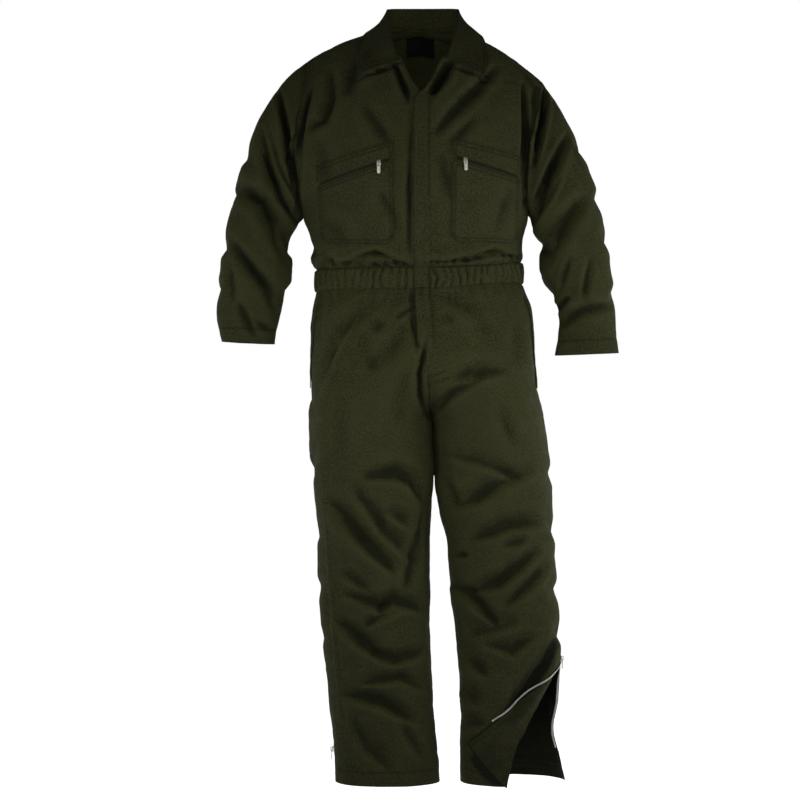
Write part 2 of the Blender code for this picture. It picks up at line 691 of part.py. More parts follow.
class Surface:
    """The outer facets of some panels, to lay pockets on and to keep the collar clear of."""

    def __init__(self, grids):
        points, faces = [], []
        for grid in grids:
            start, rows = len(points), grid.shape[1]
            points += [Vector(p) for p in grid.reshape(-1, 3)]
            faces += [tuple(start + i * rows + j for i, j in triangle) for triangle in triangles(grid)]
        self.tree = BVHTree.FromPolygons(points, faces)

    def front(self, x, z):
        """The point of the front that shows at (x, z), and its normal, evened over a few millimetres."""
        point = self.tree.ray_cast(Vector((x, -500, z)), Vector((0, 1, 0)))[0]
        normal = Vector((0, 0, 0))
        for dx, dz in ((0, 0), (9, 0), (-9, 0), (0, 9), (0, -9)):
            hit = self.tree.ray_cast(Vector((x + dx, -500, z + dz)), Vector((0, 1, 0)))
            if hit[0] is not None:
                normal += hit[1] if hit[1].y < 0 else -hit[1]
        return np.array(point), np.array(normal.normalized())

    def raised(self, sides, gap=LEAST_GAP):
        """The wall, raised where it or the middle of a facet would come nearer to the panels than gap."""
        outer, inner = (grid.copy() for grid in sides)
        normals = unit(outer - inner)
        columns, rows = inner.shape[:2]
        for _ in range(6):
            lack = np.zeros((columns, rows))
            for i, j in np.ndindex(columns - 1, rows - 1):
                for s, t in np.ndindex(5, 5):
                    cell = np.outer((1 - s / 4, s / 4), (1 - t / 4, t / 4))[..., None]
                    point = (inner[i : i + 2, j : j + 2] * cell).sum((0, 1))
                    normal = unit((normals[i : i + 2, j : j + 2] * cell).sum((0, 1)))
                    far = self.tree.ray_cast(Vector(point + normal * 25), Vector(-normal), 50)[3]
                    if far is not None and far < 25 + gap:
                        corners = lack[i : i + 2, j : j + 2]
                        np.maximum(corners, (25 + gap - far) * (cell[..., 0] > 0), out=corners)
            outer, inner = outer + normals * lack[..., None], inner + normals * lack[..., None]
            if lack.max() < 0.01:
                break
        return outer, inner

    def cleared(self, point, lift, outward):
        """The point, moved out where it is nearer to the panels than lift."""
        near, normal, _, _ = self.tree.find_nearest(Vector(point))
        normal = np.array(normal)
        if normal @ outward < 0:
            normal = -normal
        short = lift - (point - np.array(near)) @ normal
        return point + normal * max(short, 0)


def laid(surface, outline, columns, rows, lift=LAID_GAP, thickness=TRIM):
    """A wall laid on the front: outline(s, t) gives its (x, z) for s and t from 0 to 1."""
    outer = np.empty((len(columns), len(rows), 3))
    inner = outer.copy()
    for (i, s), (j, t) in ((a, b) for a in enumerate(columns) for b in enumerate(rows)):
        point, normal = surface.front(*outline(s, t))
        outer[i, j], inner[i, j] = point + normal * (lift + thickness), point + normal * lift
    return surface.raised((outer, inner))


def strip(rows, thickness, lift, surface=None):
    """A wall across rows of (point, normal) pairs, laid on a surface if one is given."""
    outer = np.array([[p + n * (lift + thickness) for p, n in row] for row in rows])
    inner = np.array([[p + n * lift for p, n in row] for row in rows])
    return surface.raised((outer, inner)) if surface else (outer, inner)


def centre_row(right, left, row, offsets):
    """(point, normal) pairs at distances from the centre line along one row of a pair of fronts: negative on the
    wearer's right. Each front is (points, normals), with its first column on the centre line. A row may lie
    between two of the grid's."""
    found = []
    low = min(int(row), right[0].shape[1] - 2)
    for offset in offsets:
        both = np.concatenate(right if offset < 0 else left, axis=2)
        line = both[:, low] * (1 - row + low) + both[:, low + 1] * (row - low)
        mixed = along_place(line, abs(offset))
        found.append((mixed[:3], unit(mixed[3:])))
    return found


# --- Hard pieces -----------------------------------------------------------------------------------------------


def box_points(low, high):
    return [(x, y, z) for x in (low[0], high[0]) for y in (low[1], high[1]) for z in (low[2], high[2])]


BOX_FACES = [(0, 1, 3, 2), (4, 6, 7, 5), (0, 4, 5, 1), (2, 3, 7, 6), (0, 2, 6, 4), (1, 5, 7, 3)]


def frame_at(point, normal, down):
    """A frame whose -Y looks along the normal and whose -Z hangs down."""
    out = Vector(normal).normalized()
    hang = Vector(down)
    hang = (hang - out * hang.dot(out)).normalized()
    across = out.cross(hang)
    turned = Matrix((across, -out, -hang)).transposed()
    return Matrix.Translation(Vector(point) * MM) @ turned.to_4x4()


def slider(name, frame):
    """A zip slider: its body, and over it the bail that holds the pull tab. -Y is out."""
    width, height, thick = SLIDER
    body = solid(name, "zip_metal", box_points((-width / 2, -thick, -height / 2), (width / 2, 0, height / 2)), BOX_FACES)
    bevel = body.modifiers.new("Bevel", "BEVEL")
    bevel.width, bevel.segments, bevel.affect = 0.7 * MM, 1, "EDGES"
    half, foot, reach, rise, roof = (BAIL[k] for k in ("half", "foot", "reach", "height", "roof"))
    side = [(thick - 0.6, foot), (thick - 0.6, reach), (thick + rise - 0.8, reach), (thick + rise, reach - 0.8)]
    lower = [(y, -z) for y, z in reversed(side)]
    under = [(thick - 0.6, -foot), (thick + rise - roof, -foot), (thick + rise - roof, foot)]
    profile = side + lower + under
    points = [(x, -y, z) for x in (-half, half) for y, z in profile]
    count = len(profile)
    faces = [tuple(range(count)), tuple(reversed(range(count, 2 * count)))]
    faces += [(k, k + count, (k + 1) % count + count, (k + 1) % count) for k in range(count)]
    arch = solid(name + "_bail", "zip_metal", points, [tuple(reversed(f)) for f in faces])
    arch.hide_render = True
    arch.display_type = "WIRE"
    joined = body.modifiers.new("Bail", "BOOLEAN")
    joined.operation, joined.object = "UNION", arch
    arch.parent = body
    body.matrix_world = frame
    return body


def pull_tab(name, frame):
    """A pull tab whose top bar lies under the bail, with its origin on that bar's axis."""
    half, bar, hole = TAB["width"] / 2, TAB["bar"], TAB["hole_half"]
    end, hole_end, thick = -TAB["length"], TAB["hole_end"], TAB["thick"] / 2
    columns = [-half, -hole, hole, half]
    rows = [bar + 0.2, -bar, hole_end, end + 2.2, end]
    points = []
    for y in (-thick, thick):
        for j, z in enumerate(rows):
            squeeze = 0.62 if j == len(rows) - 1 else 1.0
            points += [(x * squeeze, y, z) for x in columns]
    faces = []
    across = len(columns)
    layer = across * len(rows)
    cells = [(i, j) for j in range(len(rows) - 1) for i in range(across - 1) if (i, j) != (1, 1)]
    front = []
    for i, j in cells:
        a = j * across + i
        front.append((a, a + across, a + across + 1, a + 1))
    edges = {(f[k - 1], f[k]) for f in front for k in range(4)}
    rims = [(b, a, a + layer, b + layer) for a, b in sorted(edges) if (b, a) not in edges]
    faces = front + [tuple(c + layer for c in reversed(f)) for f in front] + rims
    tab = solid(name, "zip_pull", points, faces)
    tab.matrix_world = frame @ Matrix.Translation(Vector((0, -(SLIDER[2] + 1.1) * MM, 0)))
    return tab


# --- The suit --------------------------------------------------------------------------------------------------


def make_bodice():
    """Fronts, back and sleeves. Returns the grids and normals that other pieces are laid on."""
    grids = {(side, face): bodice_grid(side, face) for side in (RIGHT, LEFT) for face in (FRONT, BACK)}
    for side in (RIGHT, LEFT):
        front, back = grids[side, FRONT], grids[side, BACK]
        back[-1, : ARMPIT + 1], back[:, -1] = front[-1, : ARMPIT + 1], front[:, -1]
        grids[side, "sleeve"] = sleeve_grid(side, front, back)
    grids[LEFT, FRONT][0, : VEE + 1] = grids[RIGHT, FRONT][0, : VEE + 1]
    grids[LEFT, BACK][0, : BACK_NECK + 1] = grids[RIGHT, BACK][0, : BACK_NECK + 1]
    ways = {key: -key[0] * (1 if key[1] == "sleeve" else key[1]) for key in grids}
    limbs = {key: key[0] if key[1] == "sleeve" else 0 for key in grids}
    normals = seam_normals({key: (grids[key], ways[key], limbs[key]) for key in grids})
    for (side, face), points in grids.items():
        folds = SLEEVE_FOLDS[side] if face == "sleeve" else BODICE_FRONT_FOLDS if face == FRONT else BODICE_BACK_FOLDS
        share = np.ones(points.shape[:2])
        if face == "sleeve":
            share[:, :3] = 0.0, 0.35, 0.8
        else:
            share[-2, ARMPIT:] = share[:, -2] = 0.5
            share[0] = share[-1] = share[:, -1] = share[:, 0] = 0
        grids[side, face] = pressed(points, normals[side, face], folds, share)
    normals = seam_normals({key: (grids[key], ways[key], limbs[key]) for key in grids})
    names = {RIGHT: "right", LEFT: "left"}
    for side in (RIGHT, LEFT):
        sides = wall(grids[side, FRONT], normals[side, FRONT])
        centre = np.where(np.arange(len(LEVELS)) <= VEE, ZIP_HALF_GAP, SEAM_INSET)
        sides = drawn_in(sides, start=centre, end=OUTER_INSET, last=SEAM_INSET)
        shell(f"bodice_front_{names[side]}", "twill", sides)
        sides = wall(grids[side, "sleeve"], normals[side, "sleeve"])
        shell(f"sleeve_{names[side]}", "twill", drawn_in(sides, first=3 * SEAM_INSET))
    halves = [
        drawn_in(wall(grids[side, BACK], normals[side, BACK]), end=OUTER_INSET, last=SEAM_INSET)
        for side in (RIGHT, LEFT)
    ]
    shell("bodice_back", "twill", *halves)
    return grids, normals


def make_collar(grids, normals, surface):
    """Stand and fall in one, folded over at the neck. Its sheet runs up from the neck seam, over the fold and
    down to its outer edge."""
    columns = []
    for side in (RIGHT, LEFT):
        front, back = grids[side, FRONT], grids[side, BACK]
        front_edge = [(front[0, j], unit(front[0, j] - front[1, j])) for j in range(NECK_POINT, len(LEVELS))]
        back_edge = [(back[0, j], unit(back[0, j] - back[1, j])) for j in range(BACK_NECK, len(LEVELS) - 1)]
        edge = front_edge + back_edge[::-1]
        lengths = np.cumsum([0] + [np.linalg.norm(b[0] - a[0]) for a, b in zip(edge, edge[1:])])
        half = []
        for (seam, outward), reached in zip(edge, lengths):
            way = reached / lengths[-1]
            values = read(COLLAR, way, "fold_x", "fold_y", "fold_z", "edge_x", "edge_y", "edge_z")
            mirrored = np.array([side, 1, 1])
            fold = np.array(values[:3]) * mirrored + np.array([CENTRE_X * (1 - way), 0, 0])
            rim = np.array(values[3:]) * mirrored + np.array([CENTRE_X * (1 - way), 0, 0])
            base = seam + np.array([0, 0, 0.45])
            half.append(collar_column(base, fold, rim, surface))
        columns.append(half)
    around = columns[0] + columns[1][-2::-1]
    sheet = np.array(around)
    # Outward is away from the neck on the stand, so it faces the fall's underside after the fold.
    sheets = {"collar": (sheet, 1, 0)}
    way = seam_normals(sheets)["collar"]
    middle = len(sheet) // 2
    if way[middle, 1] @ np.array([0, 1.0, 0]) < 0:
        way = -way
    top = sheet - way * CLOTH
    top[:, 2:], sheet[:, 2:] = surface.raised((top[:, 2:], sheet[:, 2:]), LAID_GAP)
    shell("collar", "twill", (sheet, top))


def collar_column(base, fold, rim, surface):
    """Points from the neck seam up the stand, over the roll and down the fall. The sheet is its under side."""
    up = unit(fold - base) if np.linalg.norm(fold - base) > 4 else np.array([0, 0, 1.0])
    down = unit(rim - fold)
    out = unit(down + np.array([0, 0, 0.2]))
    height = np.linalg.norm(fold - base)
    points = [base, base + (fold - base) * 0.5]
    points.append(fold - up * min(COLLAR_ROLL, height * 0.25))
    points.append(fold + out * COLLAR_ROLL * 0.5 + up * COLLAR_ROLL * 0.25)
    for share in (0.12, 0.36, 0.68, 1.0):
        point = fold + (rim - fold) * share + out * COLLAR_ROLL * (1 - share)
        bulge = np.array([0, 0, 5.0]) * math.sin(math.pi * share)
        outward = unit(np.array([point[0], point[1] * 0.8, 60.0]))
        points.append(surface.cleared(point + bulge * 0.6, LAID_GAP + 0.4, outward))
    return points


def make_closure(grids, normals, trousers, trouser_normals, surface, low_surface):
    """The zip down the centre front, the placket over it, the facing of the neck opening and the fly."""
    right, left = ((grids[s, FRONT], normals[s, FRONT]) for s in (RIGHT, LEFT))
    low_right, low_left = ((trousers[s, FRONT], trouser_normals[s, FRONT]) for s in (RIGHT, LEFT))
    fly_rows = [j for j, z in enumerate(TROUSER_ROWS) if z >= SEAT_Z]
    fly_ends = np.interp([600, -FLY_END_Z], [-z for z in TROUSER_ROWS], range(len(TROUSER_ROWS)))

    rows = [centre_row(right, left, j, (-16, -8, 0, 8, 15)) for j in range(VEE + 1)]
    rows += [centre_row(right, left, j, (0, 2.2, 4.4, 6.6, 8.8)) for j in NECK_EDGE_ROWS]
    shell("placket_bodice", "twill", strip(rows, TRIM, LAID_GAP, surface))
    rows = [centre_row(right, left, j, (-13, -9, -5, -1.2)) for j in NECK_EDGE_ROWS]
    shell("neck_facing_right", "twill", strip(rows, TRIM, LAID_GAP, surface))
    rows = [centre_row(low_right, low_left, j, (-14, -6, 2, 10, 18)) for j in (*fly_rows, *fly_ends)]
    shell("placket_fly", "twill", strip(rows, TRIM, 2 * LAID_GAP, low_surface))

    def chain(pair, chosen):
        return [centre_row(*pair, j, (-CHAIN_HALF, 0, CHAIN_HALF)) for j in chosen]

    upper = chain((right, left), range(VEE - 1, -1, -1))
    lower = chain((low_right, low_left), fly_rows[:-1])
    shell("front_zip", "zip_tape", strip(upper + lower, TAPE, -1.5))
    point, normal = centre_row(right, left, VEE - 1, (0,))[0]
    top = (right[0][0, VEE] + right[0][0, VEE - 1]) / 2
    height = SLIDER[1]
    frame = frame_at(top - normal * 2.4 + np.array([0, 0, 2.0]), normal, (0, 0, -1))
    body = solid("front_zip_slider", "zip_metal", box_points((-3.4, -1.6, 0), (3.4, 0.6, height)), BOX_FACES)
    body.matrix_world = frame


def make_waistband(grids, trousers):
    """The elastic waistband: each piece's outer side is gathered over a plain inside. Its top edge follows the
    bodice and its lower edge the trousers."""
    names = {(RIGHT, FRONT): "front_right", (LEFT, FRONT): "front_left"}
    walls = {}
    for side in (RIGHT, LEFT):
        for face in (FRONT, BACK):
            top, bottom = grids[side, face][:, 0], trousers[side, face][:, 0]
            reach = length_of(top)
            gathers = round(reach / GATHER_PITCH)
            count = gathers * 2
            start = 5 if face == FRONT else 0
            outer, inner = [], []
            upper, lower = spread(top, count), spread(bottom, count)
            tangents = unit(np.gradient(upper, axis=0))
            for k in range(count + 1):
                out = unit(np.cross(tangents[k], (0, 0, 1.0))) * (-side * face)
                if k == 0:
                    out = np.array([0, float(face), 0])
                if k == count:
                    out = np.array([float(side), 0, 0])
                flat = k < start or k == count
                wave = 0.0 if flat else (k % 2) * GATHER_HEIGHT
                high = upper[k] - np.array([0, 0, 0.3])
                low = lower[k] + np.array([0, 0, 0.3])
                middle = (high + low) / 2 + out * 1.5
                outer.append([p + out * wave for p in (high, middle, low)])
                inner.append([p - out * CLOTH for p in (high, middle, low)])
            walls[side, face] = (np.array(outer), np.array(inner))
    for key, name in names.items():
        shell(f"waistband_{name}", "twill", drawn_in(walls[key], start=ZIP_HALF_GAP, end=SEAM_INSET))
    shell("waistband_back", "twill", *(drawn_in(walls[side, BACK], end=SEAM_INSET) for side in (RIGHT, LEFT)))
    rows = []
    for share in (0.0, 0.5, 1.0):
        row = []
        for offset in (-16, -8, 0, 8, 16):
            side = RIGHT if offset < 0 else LEFT
            top, bottom = grids[side, FRONT][:, 0], trousers[side, FRONT][:, 0]
            high, low = along(top, abs(offset)), along(bottom, abs(offset))
            point = high + (low - high) * (0.02 + 0.9 * share)
            row.append((point, np.array([0, -1.0, 0])))
        rows.append(row)
    shell("waistband_tab", "twill", strip(rows, TRIM, LAID_GAP + 2.6))


def make_trousers(trousers, normals):
    """Fronts and backs. The wearer's right leg zip is closed and the left one open, its front corner turned
    back. Returns the places and the lift of that corner."""
    below_zip = np.array([z < LEG_ZIP_TOP - 1 for z in TROUSER_ROWS])
    side_edge = np.where(below_zip, 5.0, SEAM_INSET)
    fly = [SEAT_Z - 1, SEAT_Z, SEAT_Z + 20, 0]
    centre = np.interp(TROUSER_ROWS, fly, [SEAM_INSET, 1.5, ZIP_HALF_GAP, ZIP_HALF_GAP])
    for side, name in ((RIGHT, "right"), (LEFT, "left")):
        back = wall(trousers[side, BACK], normals[side, BACK])
        shell(f"trouser_back_{name}", "twill", drawn_in(back, start=2 * SEAM_INSET, end=side_edge))
    front = wall(trousers[RIGHT, FRONT], normals[RIGHT, FRONT])
    shell("trouser_front_right", "twill", drawn_in(front, start=centre, end=side_edge))
    main, turned, reflected, lift = turned_back_panel(trousers[LEFT, FRONT], normals[LEFT, FRONT])
    above = np.where(below_zip, 0.0, SEAM_INSET)
    main = drawn_in(main, start=centre, end=above)
    shell("trouser_front_left", "twill", main, turned)
    return reflected, lift


def make_leg_zips(trousers, normals, reflected, lift):
    """The closed zip on the wearer's right, and the two tapes, slider and tab of the open one on the left."""
    heights = [LEG_ZIP_TOP - 9, -1285, -1326, -1367, -1408, LEG_ZIP_END]
    legs = {key: Leg(trousers[key], normals[key]) for key in trousers}
    rows = []
    for z in heights:
        front, back = legs[RIGHT, FRONT], legs[RIGHT, BACK]
        rows.append([front.at(4.6, z), front.at(0, z), back.at(4.6, z)])
    shell("leg_zip_right", "zip_tape", strip(rows, TAPE, -1.6))
    rows = [[legs[LEFT, BACK].at(d, z) for d in (0.6, 4.6)] for z in heights]
    shell("leg_zip_left_back_tape", "zip_tape", strip(rows, TAPE, -1.6))
    heights[0] -= 11
    rows = []
    for z in heights:
        share = (LEG_ZIP_TOP - z) / (LEG_ZIP_TOP - HEM_Z)
        rows.append([reflected(CUT_AT_HEM * share - d, z) for d in (1.2, 5.2)])
    outer = np.array([[p + n * (lift(z) + 2.0) for p, n in row] for row, z in zip(rows, heights)])
    inner = np.array([[p + n * (lift(z) + 0.8) for p, n in row] for row, z in zip(rows, heights)])
    shell("leg_zip_left_front_tape", "zip_tape", (outer, inner))
    for side, name, z, out in ((RIGHT, "right", LEG_ZIP_END - 2, -0.02), (LEFT, "left", LEG_ZIP_TOP + 3, 0.5)):
        point, normal = legs[side, FRONT].at(0, z)
        normal = unit(np.array([normal[0], 0, 0]))
        frame = frame_at(point + normal * out, normal, (0, 0, -1))
        slider(f"leg_zip_{name}_slider", frame)
        pull_tab(f"leg_zip_{name}_pull", frame)


def make_chest_pocket(side, name, surface):
    """An upper band and a lower patch with the slanted zip between them, its slider and its pull tab."""
    size = POCKET[side]

    def edge(pair, s):
        return pair[0] + (pair[1] - pair[0]) * s

    def across(s, z):
        top = edge(size["top"], s)
        low = edge(size["bottom"], s)
        outer = size["outer"] + (size["foot"] - size["outer"]) * (top - z) / (top - low)
        return size["inner"] + (outer - size["inner"]) * s

    def band(s, t):
        z = edge(size["top"], s) + (edge(size["mouth"], s) + MOUTH_HALF - edge(size["top"], s)) * t
        return across(s, z), z

    def patch(s, t):
        top = edge(size["mouth"], s) - MOUTH_HALF
        width = abs(size["foot"] - size["inner"])
        cut = CORNER * max(0, 1 - min(s, 1 - s) * width / CORNER)
        z = top + (edge(size["bottom"], s) + cut - top) * t
        return across(s, z), z

    def tape(s, t):
        z = edge(size["mouth"], s) + (MOUTH_HALF - 0.35) * (1 - 2 * t)
        return across(s, z), z

    width = abs(size["foot"] - size["inner"])
    columns = [0, CORNER / width] + [k / 9 for k in range(1, 9)] + [1 - CORNER / width, 1]
    columns = sorted(c for c in columns if c in (0, 1) or min(c, 1 - c) >= CORNER / width - 1e-6)
    shell(f"chest_pocket_{name}_band", "twill", laid(surface, band, columns, (0, 0.5, 1)))
    shell(f"chest_pocket_{name}_patch", "twill", laid(surface, patch, columns, [k / 7 for k in range(8)]))
    inset = [c for c in columns if MOUTH_START <= c <= 0.97]
    shell(f"chest_zip_{name}", "zip_tape", laid(surface, tape, inset, (0, 0.5, 1), LAID_GAP, TAPE))
    mouth = edge(size["mouth"], PULL_AT)
    point, normal = surface.front(across(PULL_AT, mouth), mouth)
    frame = frame_at(point + normal * (LAID_GAP + TRIM + 0.3), normal, (0, 0, -1))
    slider(f"chest_zip_{name}_slider", frame)
    pull_tab(f"chest_zip_{name}_pull", frame)


def make_side_pocket(name, leg, surface):
    """The welt of a slash pocket, which runs down to the side seam."""
    rows = []
    for k in range(8):
        z = -522 - 24 * k
        near = 34 - 3.2 * k
        rows.append([leg.at(near, z), leg.at(near + 6, z), leg.at(near + 12, z)])
    shell(f"side_pocket_welt_{name}", "twill", strip(rows, TRIM, LAID_GAP, surface))


def make_label(grids, normals):
    """A bare label inside the back neck."""
    outer, inner = [], []
    for offset in (-30, -15, 0, 15, 30):
        side = RIGHT if offset < 0 else LEFT
        column_out, column_in = [], []
        for j in (BACK_NECK, BACK_NECK - 1, BACK_NECK - 2):
            lines = [np.concatenate([grids[side, BACK][:, k], normals[side, BACK][:, k]], axis=1) for k in (j, j - 1)]
            found, lower = (along_place(line, abs(offset)) for line in lines)
            point, normal = found[:3], unit(found[3:])
            if j == BACK_NECK:
                point = point + (lower[:3] - point) * 0.12
            column_out.append(point - normal * (CLOTH + 0.8))
            column_in.append(point - normal * (CLOTH + 1.8))
        outer.append(column_out)
        inner.append(column_in)
    shell("neck_label", "label", (np.array(outer), np.array(inner)))


def main():
    for old in list(bpy.data.objects):
        bpy.data.objects.remove(old)
    grids, normals = make_bodice()
    trousers = {(side, face): trouser_grid(side, face) for side in (RIGHT, LEFT) for face in (FRONT, BACK)}
    for side in (RIGHT, LEFT):
        front, back = trousers[side, FRONT], trousers[side, BACK]
        sewn = ZIP_ROW + 1 if side == LEFT else len(TROUSER_ROWS)
        back[-1, :sewn], back[0, CROTCH_ROW:] = front[-1, :sewn], front[0, CROTCH_ROW:]
    for face in (FRONT, BACK):
        trousers[LEFT, face][0, : CROTCH_ROW + 1] = trousers[RIGHT, face][0, : CROTCH_ROW + 1]
    ways = {key: key[0] * key[1] for key in trousers}
    flat = seam_normals({key: (trousers[key], ways[key], 0) for key in trousers})
    for (side, face), points in trousers.items():
        folds = TROUSER_FRONT_FOLDS if face == FRONT else TROUSER_BACK_FOLDS
        share = np.ones(points.shape[:2])
        share[0] = share[-1] = share[:, 0] = 0
        trousers[side, face] = pressed(points, flat[side, face], folds, share)
    trouser_normals = seam_normals({key: (trousers[key], ways[key], 0) for key in trousers})
    surface = Surface([grids[s, f] for s in (RIGHT, LEFT) for f in (FRONT, BACK)])
    make_collar(grids, normals, surface)
    make_label(grids, normals)
    low_surface = Surface([trousers[s, FRONT] for s in (RIGHT, LEFT)])
    make_closure(grids, normals, trousers, trouser_normals, surface, low_surface)
    make_waistband(grids, trousers)
    reflected, lift = make_trousers(trousers, trouser_normals)
    make_leg_zips(trousers, trouser_normals, reflected, lift)
    for side, name in ((RIGHT, "right"), (LEFT, "left")):
        make_chest_pocket(side, name, surface)
        make_side_pocket(name, Leg(trousers[side, FRONT], trouser_normals[side, FRONT]), low_surface)


main()
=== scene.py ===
"""How the boiler suit looks: every sewn piece again in a fine mesh, with its folds, gathers, stitching and zips,
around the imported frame. Sizes in the tables are millimetres; the front faces -Y and +X is the wearer's left."""

import json
import math

import bpy
import numpy as np
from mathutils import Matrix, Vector, noise
from mathutils.bvhtree import BVHTree

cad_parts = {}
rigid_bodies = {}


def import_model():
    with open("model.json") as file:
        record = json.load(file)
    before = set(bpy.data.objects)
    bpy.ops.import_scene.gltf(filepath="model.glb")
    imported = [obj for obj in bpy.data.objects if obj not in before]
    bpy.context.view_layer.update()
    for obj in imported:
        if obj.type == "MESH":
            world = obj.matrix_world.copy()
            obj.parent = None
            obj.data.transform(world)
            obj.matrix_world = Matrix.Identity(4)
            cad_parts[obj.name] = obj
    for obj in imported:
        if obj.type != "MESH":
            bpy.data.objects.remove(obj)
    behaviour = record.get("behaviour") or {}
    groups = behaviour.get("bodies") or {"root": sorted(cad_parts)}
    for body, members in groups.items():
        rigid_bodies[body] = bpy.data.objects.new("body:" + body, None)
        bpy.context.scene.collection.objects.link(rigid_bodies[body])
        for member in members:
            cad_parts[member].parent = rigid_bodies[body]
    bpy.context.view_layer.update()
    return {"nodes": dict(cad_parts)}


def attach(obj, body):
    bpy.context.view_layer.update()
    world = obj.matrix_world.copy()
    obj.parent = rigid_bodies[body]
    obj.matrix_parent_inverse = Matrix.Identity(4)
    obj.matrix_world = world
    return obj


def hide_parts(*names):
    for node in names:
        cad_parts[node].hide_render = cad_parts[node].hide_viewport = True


for old in list(bpy.data.objects):
    bpy.data.objects.remove(old)
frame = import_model()

MM = 0.001
RIGHT, LEFT = -1, 1  # the wearer's sides, and the signs of their x
FRONT, BACK = -1, 1  # the signs of their y
NAMES = {RIGHT: "right", LEFT: "left"}

CLOTH = 1.6  # thickness of a twill wall with its turnings
TRIM = 1.6  # thickness of a pocket, placket or facing laid on a wall
TAPE = 1.2  # thickness of a zip tape
SEAM_INSET = 0.15  # each side of a seam, so two pieces are 0.3 apart
LAID_GAP = 0.9  # between a wall and what is laid on it
LEAST_GAP = 0.4  # what is left of it where the wall bends
ZIP_HALF_GAP = 4.0  # half the space between two edges that a zip joins
CHAIN_HALF = 3.6  # half the width of the closed zip between them
FINER = 8  # rows of the bodice to one of its solid
RINGS = 12  # rings of a sleeve to one of its solid
ACROSS = 80  # columns across a front panel
ROW_STEP = 3.8  # between two rows of the trousers
ROUND = 2.2  # superellipse power of the trouser rings

WAIST_Z = -451.0  # top edge of the waistband
GATHER_PITCH = 15.0
GATHER_HEIGHT = 4.6
WAIST_TILT = 16.0  # how much higher the waist is at the wearer's left side
CENTRE_X = -6.0  # centre front of the bodice

CROTCH_Z = -751.0
SEAT_Z = -571.0  # below it the trunk starts to part into two legs
FLY_END_Z = -615.0
HEM_Z = -1490.0
LEG_ZIP_TOP = -1244.0
LEG_ZIP_END = -1424.0
FOLD_START = 8.0  # the turned-back corner starts this far below the zip's top
FOLD_AT_HEM = 151.0  # its fold line meets the hem this far round from the side seam
CUT_AT_HEM = 55.0  # the front panel's cut edge meets the hem this far round
FOLD_LIFT = (1.4, 3.6)  # how far the turned-back corner stands off the leg, top and hem


def table(names, *rows):
    """Columns by name, from rows of numbers."""
    return dict(zip(names.split(), np.array(rows, float).T))


# Rows of the bodice. "level" counts them from the waist (0) past the armpit (3) and the foot of the neck opening
# (6) to the front collar point (8) and the shoulder seam (11). x is measured out from the centre line. "flat" is
# how squarely the row leaves that line.
FRONT_CENTRE = table(
    "level x y z flat",
    (0, 0, -107, -451, 1.0),
    (1, 0, -121, -432, 1.0),
    (2, 0, -134, -388, 1.0),
    (3, 0, -145, -330, 1.0),
    (4, 0, -151, -262, 1.0),
    (5, 0, -146, -200, 1.0),
    (6, 0, -130, -120, 1.0),
    (7, 20, -117, -80, 0.75),
    (8, 40, -101, -38, 0.5),
    (9, 63, -78, -16, 0.3),
    (10, 79, -38, 12, 0.1),
    (11, 88, 5, 38, 0.0),
)
BACK_CENTRE = table(
    "level x y z flat",
    (0, 0, 105, -451, 1.0),
    (1, 0, 122, -432, 1.0),
    (2, 0, 132, -388, 1.0),
    (3, 0, 140, -325, 1.0),
    (4, 0, 143, -255, 1.0),
    (5, 0, 142, -185, 1.0),
    (6, 0, 134, -112, 1.0),
    (7, 0, 119, -50, 0.9),
    (8, 0, 97, 8, 0.8),
    (9, 0, 76, 48, 0.6),
    (10, 60, 54, 48, 0.2),
    (11, 88, 5, 38, 0.0),
)
# The side seam up to the armpit, then the armhole. "half" is half the armhole's depth, and "turn" is how far the
# row ends running front to back instead of straight on.
SIDE_EDGE = {
    RIGHT: table(
        "level x z middle half turn",
        (0, -219, -451, 0, 0, 1.0),
        (1, -229, -430, 0, 0, 1.0),
        (2, -232, -388, 0, 0, 1.0),
        (3, -246, -343, 0, 0, 1.0),
        (4, -259, -288, 1, 50, 0.6),
        (5, -265, -226, 1, 61, 0.5),
        (6, -260, -172, 2, 61, 0.4),
        (7, -250, -128, 2, 53, 0.3),
        (8, -244, -90, 3, 40, 0.2),
        (9, -241, -60, 4, 26, 0.1),
        (10, -240, -38, 5, 12, 0.05),
        (11, -239, -24, 5, 0, 0.0),
    ),
    LEFT: table(
        "level x z middle half turn",
        (0, 198, -435, 0, 0, 1.0),
        (1, 200, -416, 0, 0, 1.0),
        (2, 202, -385, 0, 0, 1.0),
        (3, 212, -338, 0, 0, 1.0),
        (4, 206, -292, 1, 50, 0.6),
        (5, 208, -240, 1, 61, 0.5),
        (6, 212, -192, 2, 61, 0.4),
        (7, 221, -152, 2, 53, 0.3),
        (8, 230, -118, 3, 40, 0.2),
        (9, 237, -92, 4, 26, 0.1),
        (10, 241, -76, 5, 12, 0.05),
        (11, 243, -65, 5, 0, 0.0),
    ),
}
SHOULDER_ARCH = 12.0  # how far the shoulder seam bows up
COARSE = [0, 0.5, 1, 1.6, 2.3, 3, 3.6, 4.3, 5.1, 6, 7, 8, 8.5, 9, 9.5, 10, 10.5, 11]
LEVELS = np.interp(np.arange(FINER * (len(COARSE) - 1) + 1) / FINER, range(len(COARSE)), COARSE)
ARMPIT, VEE, NECK_POINT, BACK_NECK = (COARSE.index(level) * FINER for level in (3, 6, 8, 9))
OUTER_INSET = np.where(np.arange(len(LEVELS)) > ARMPIT, 3 * SEAM_INSET, SEAM_INSET)
NECK_EDGE_ROWS = (VEE + FINER * 0.3, VEE + FINER * (0.3 + 1.45))  # first and last row of the neck's edge

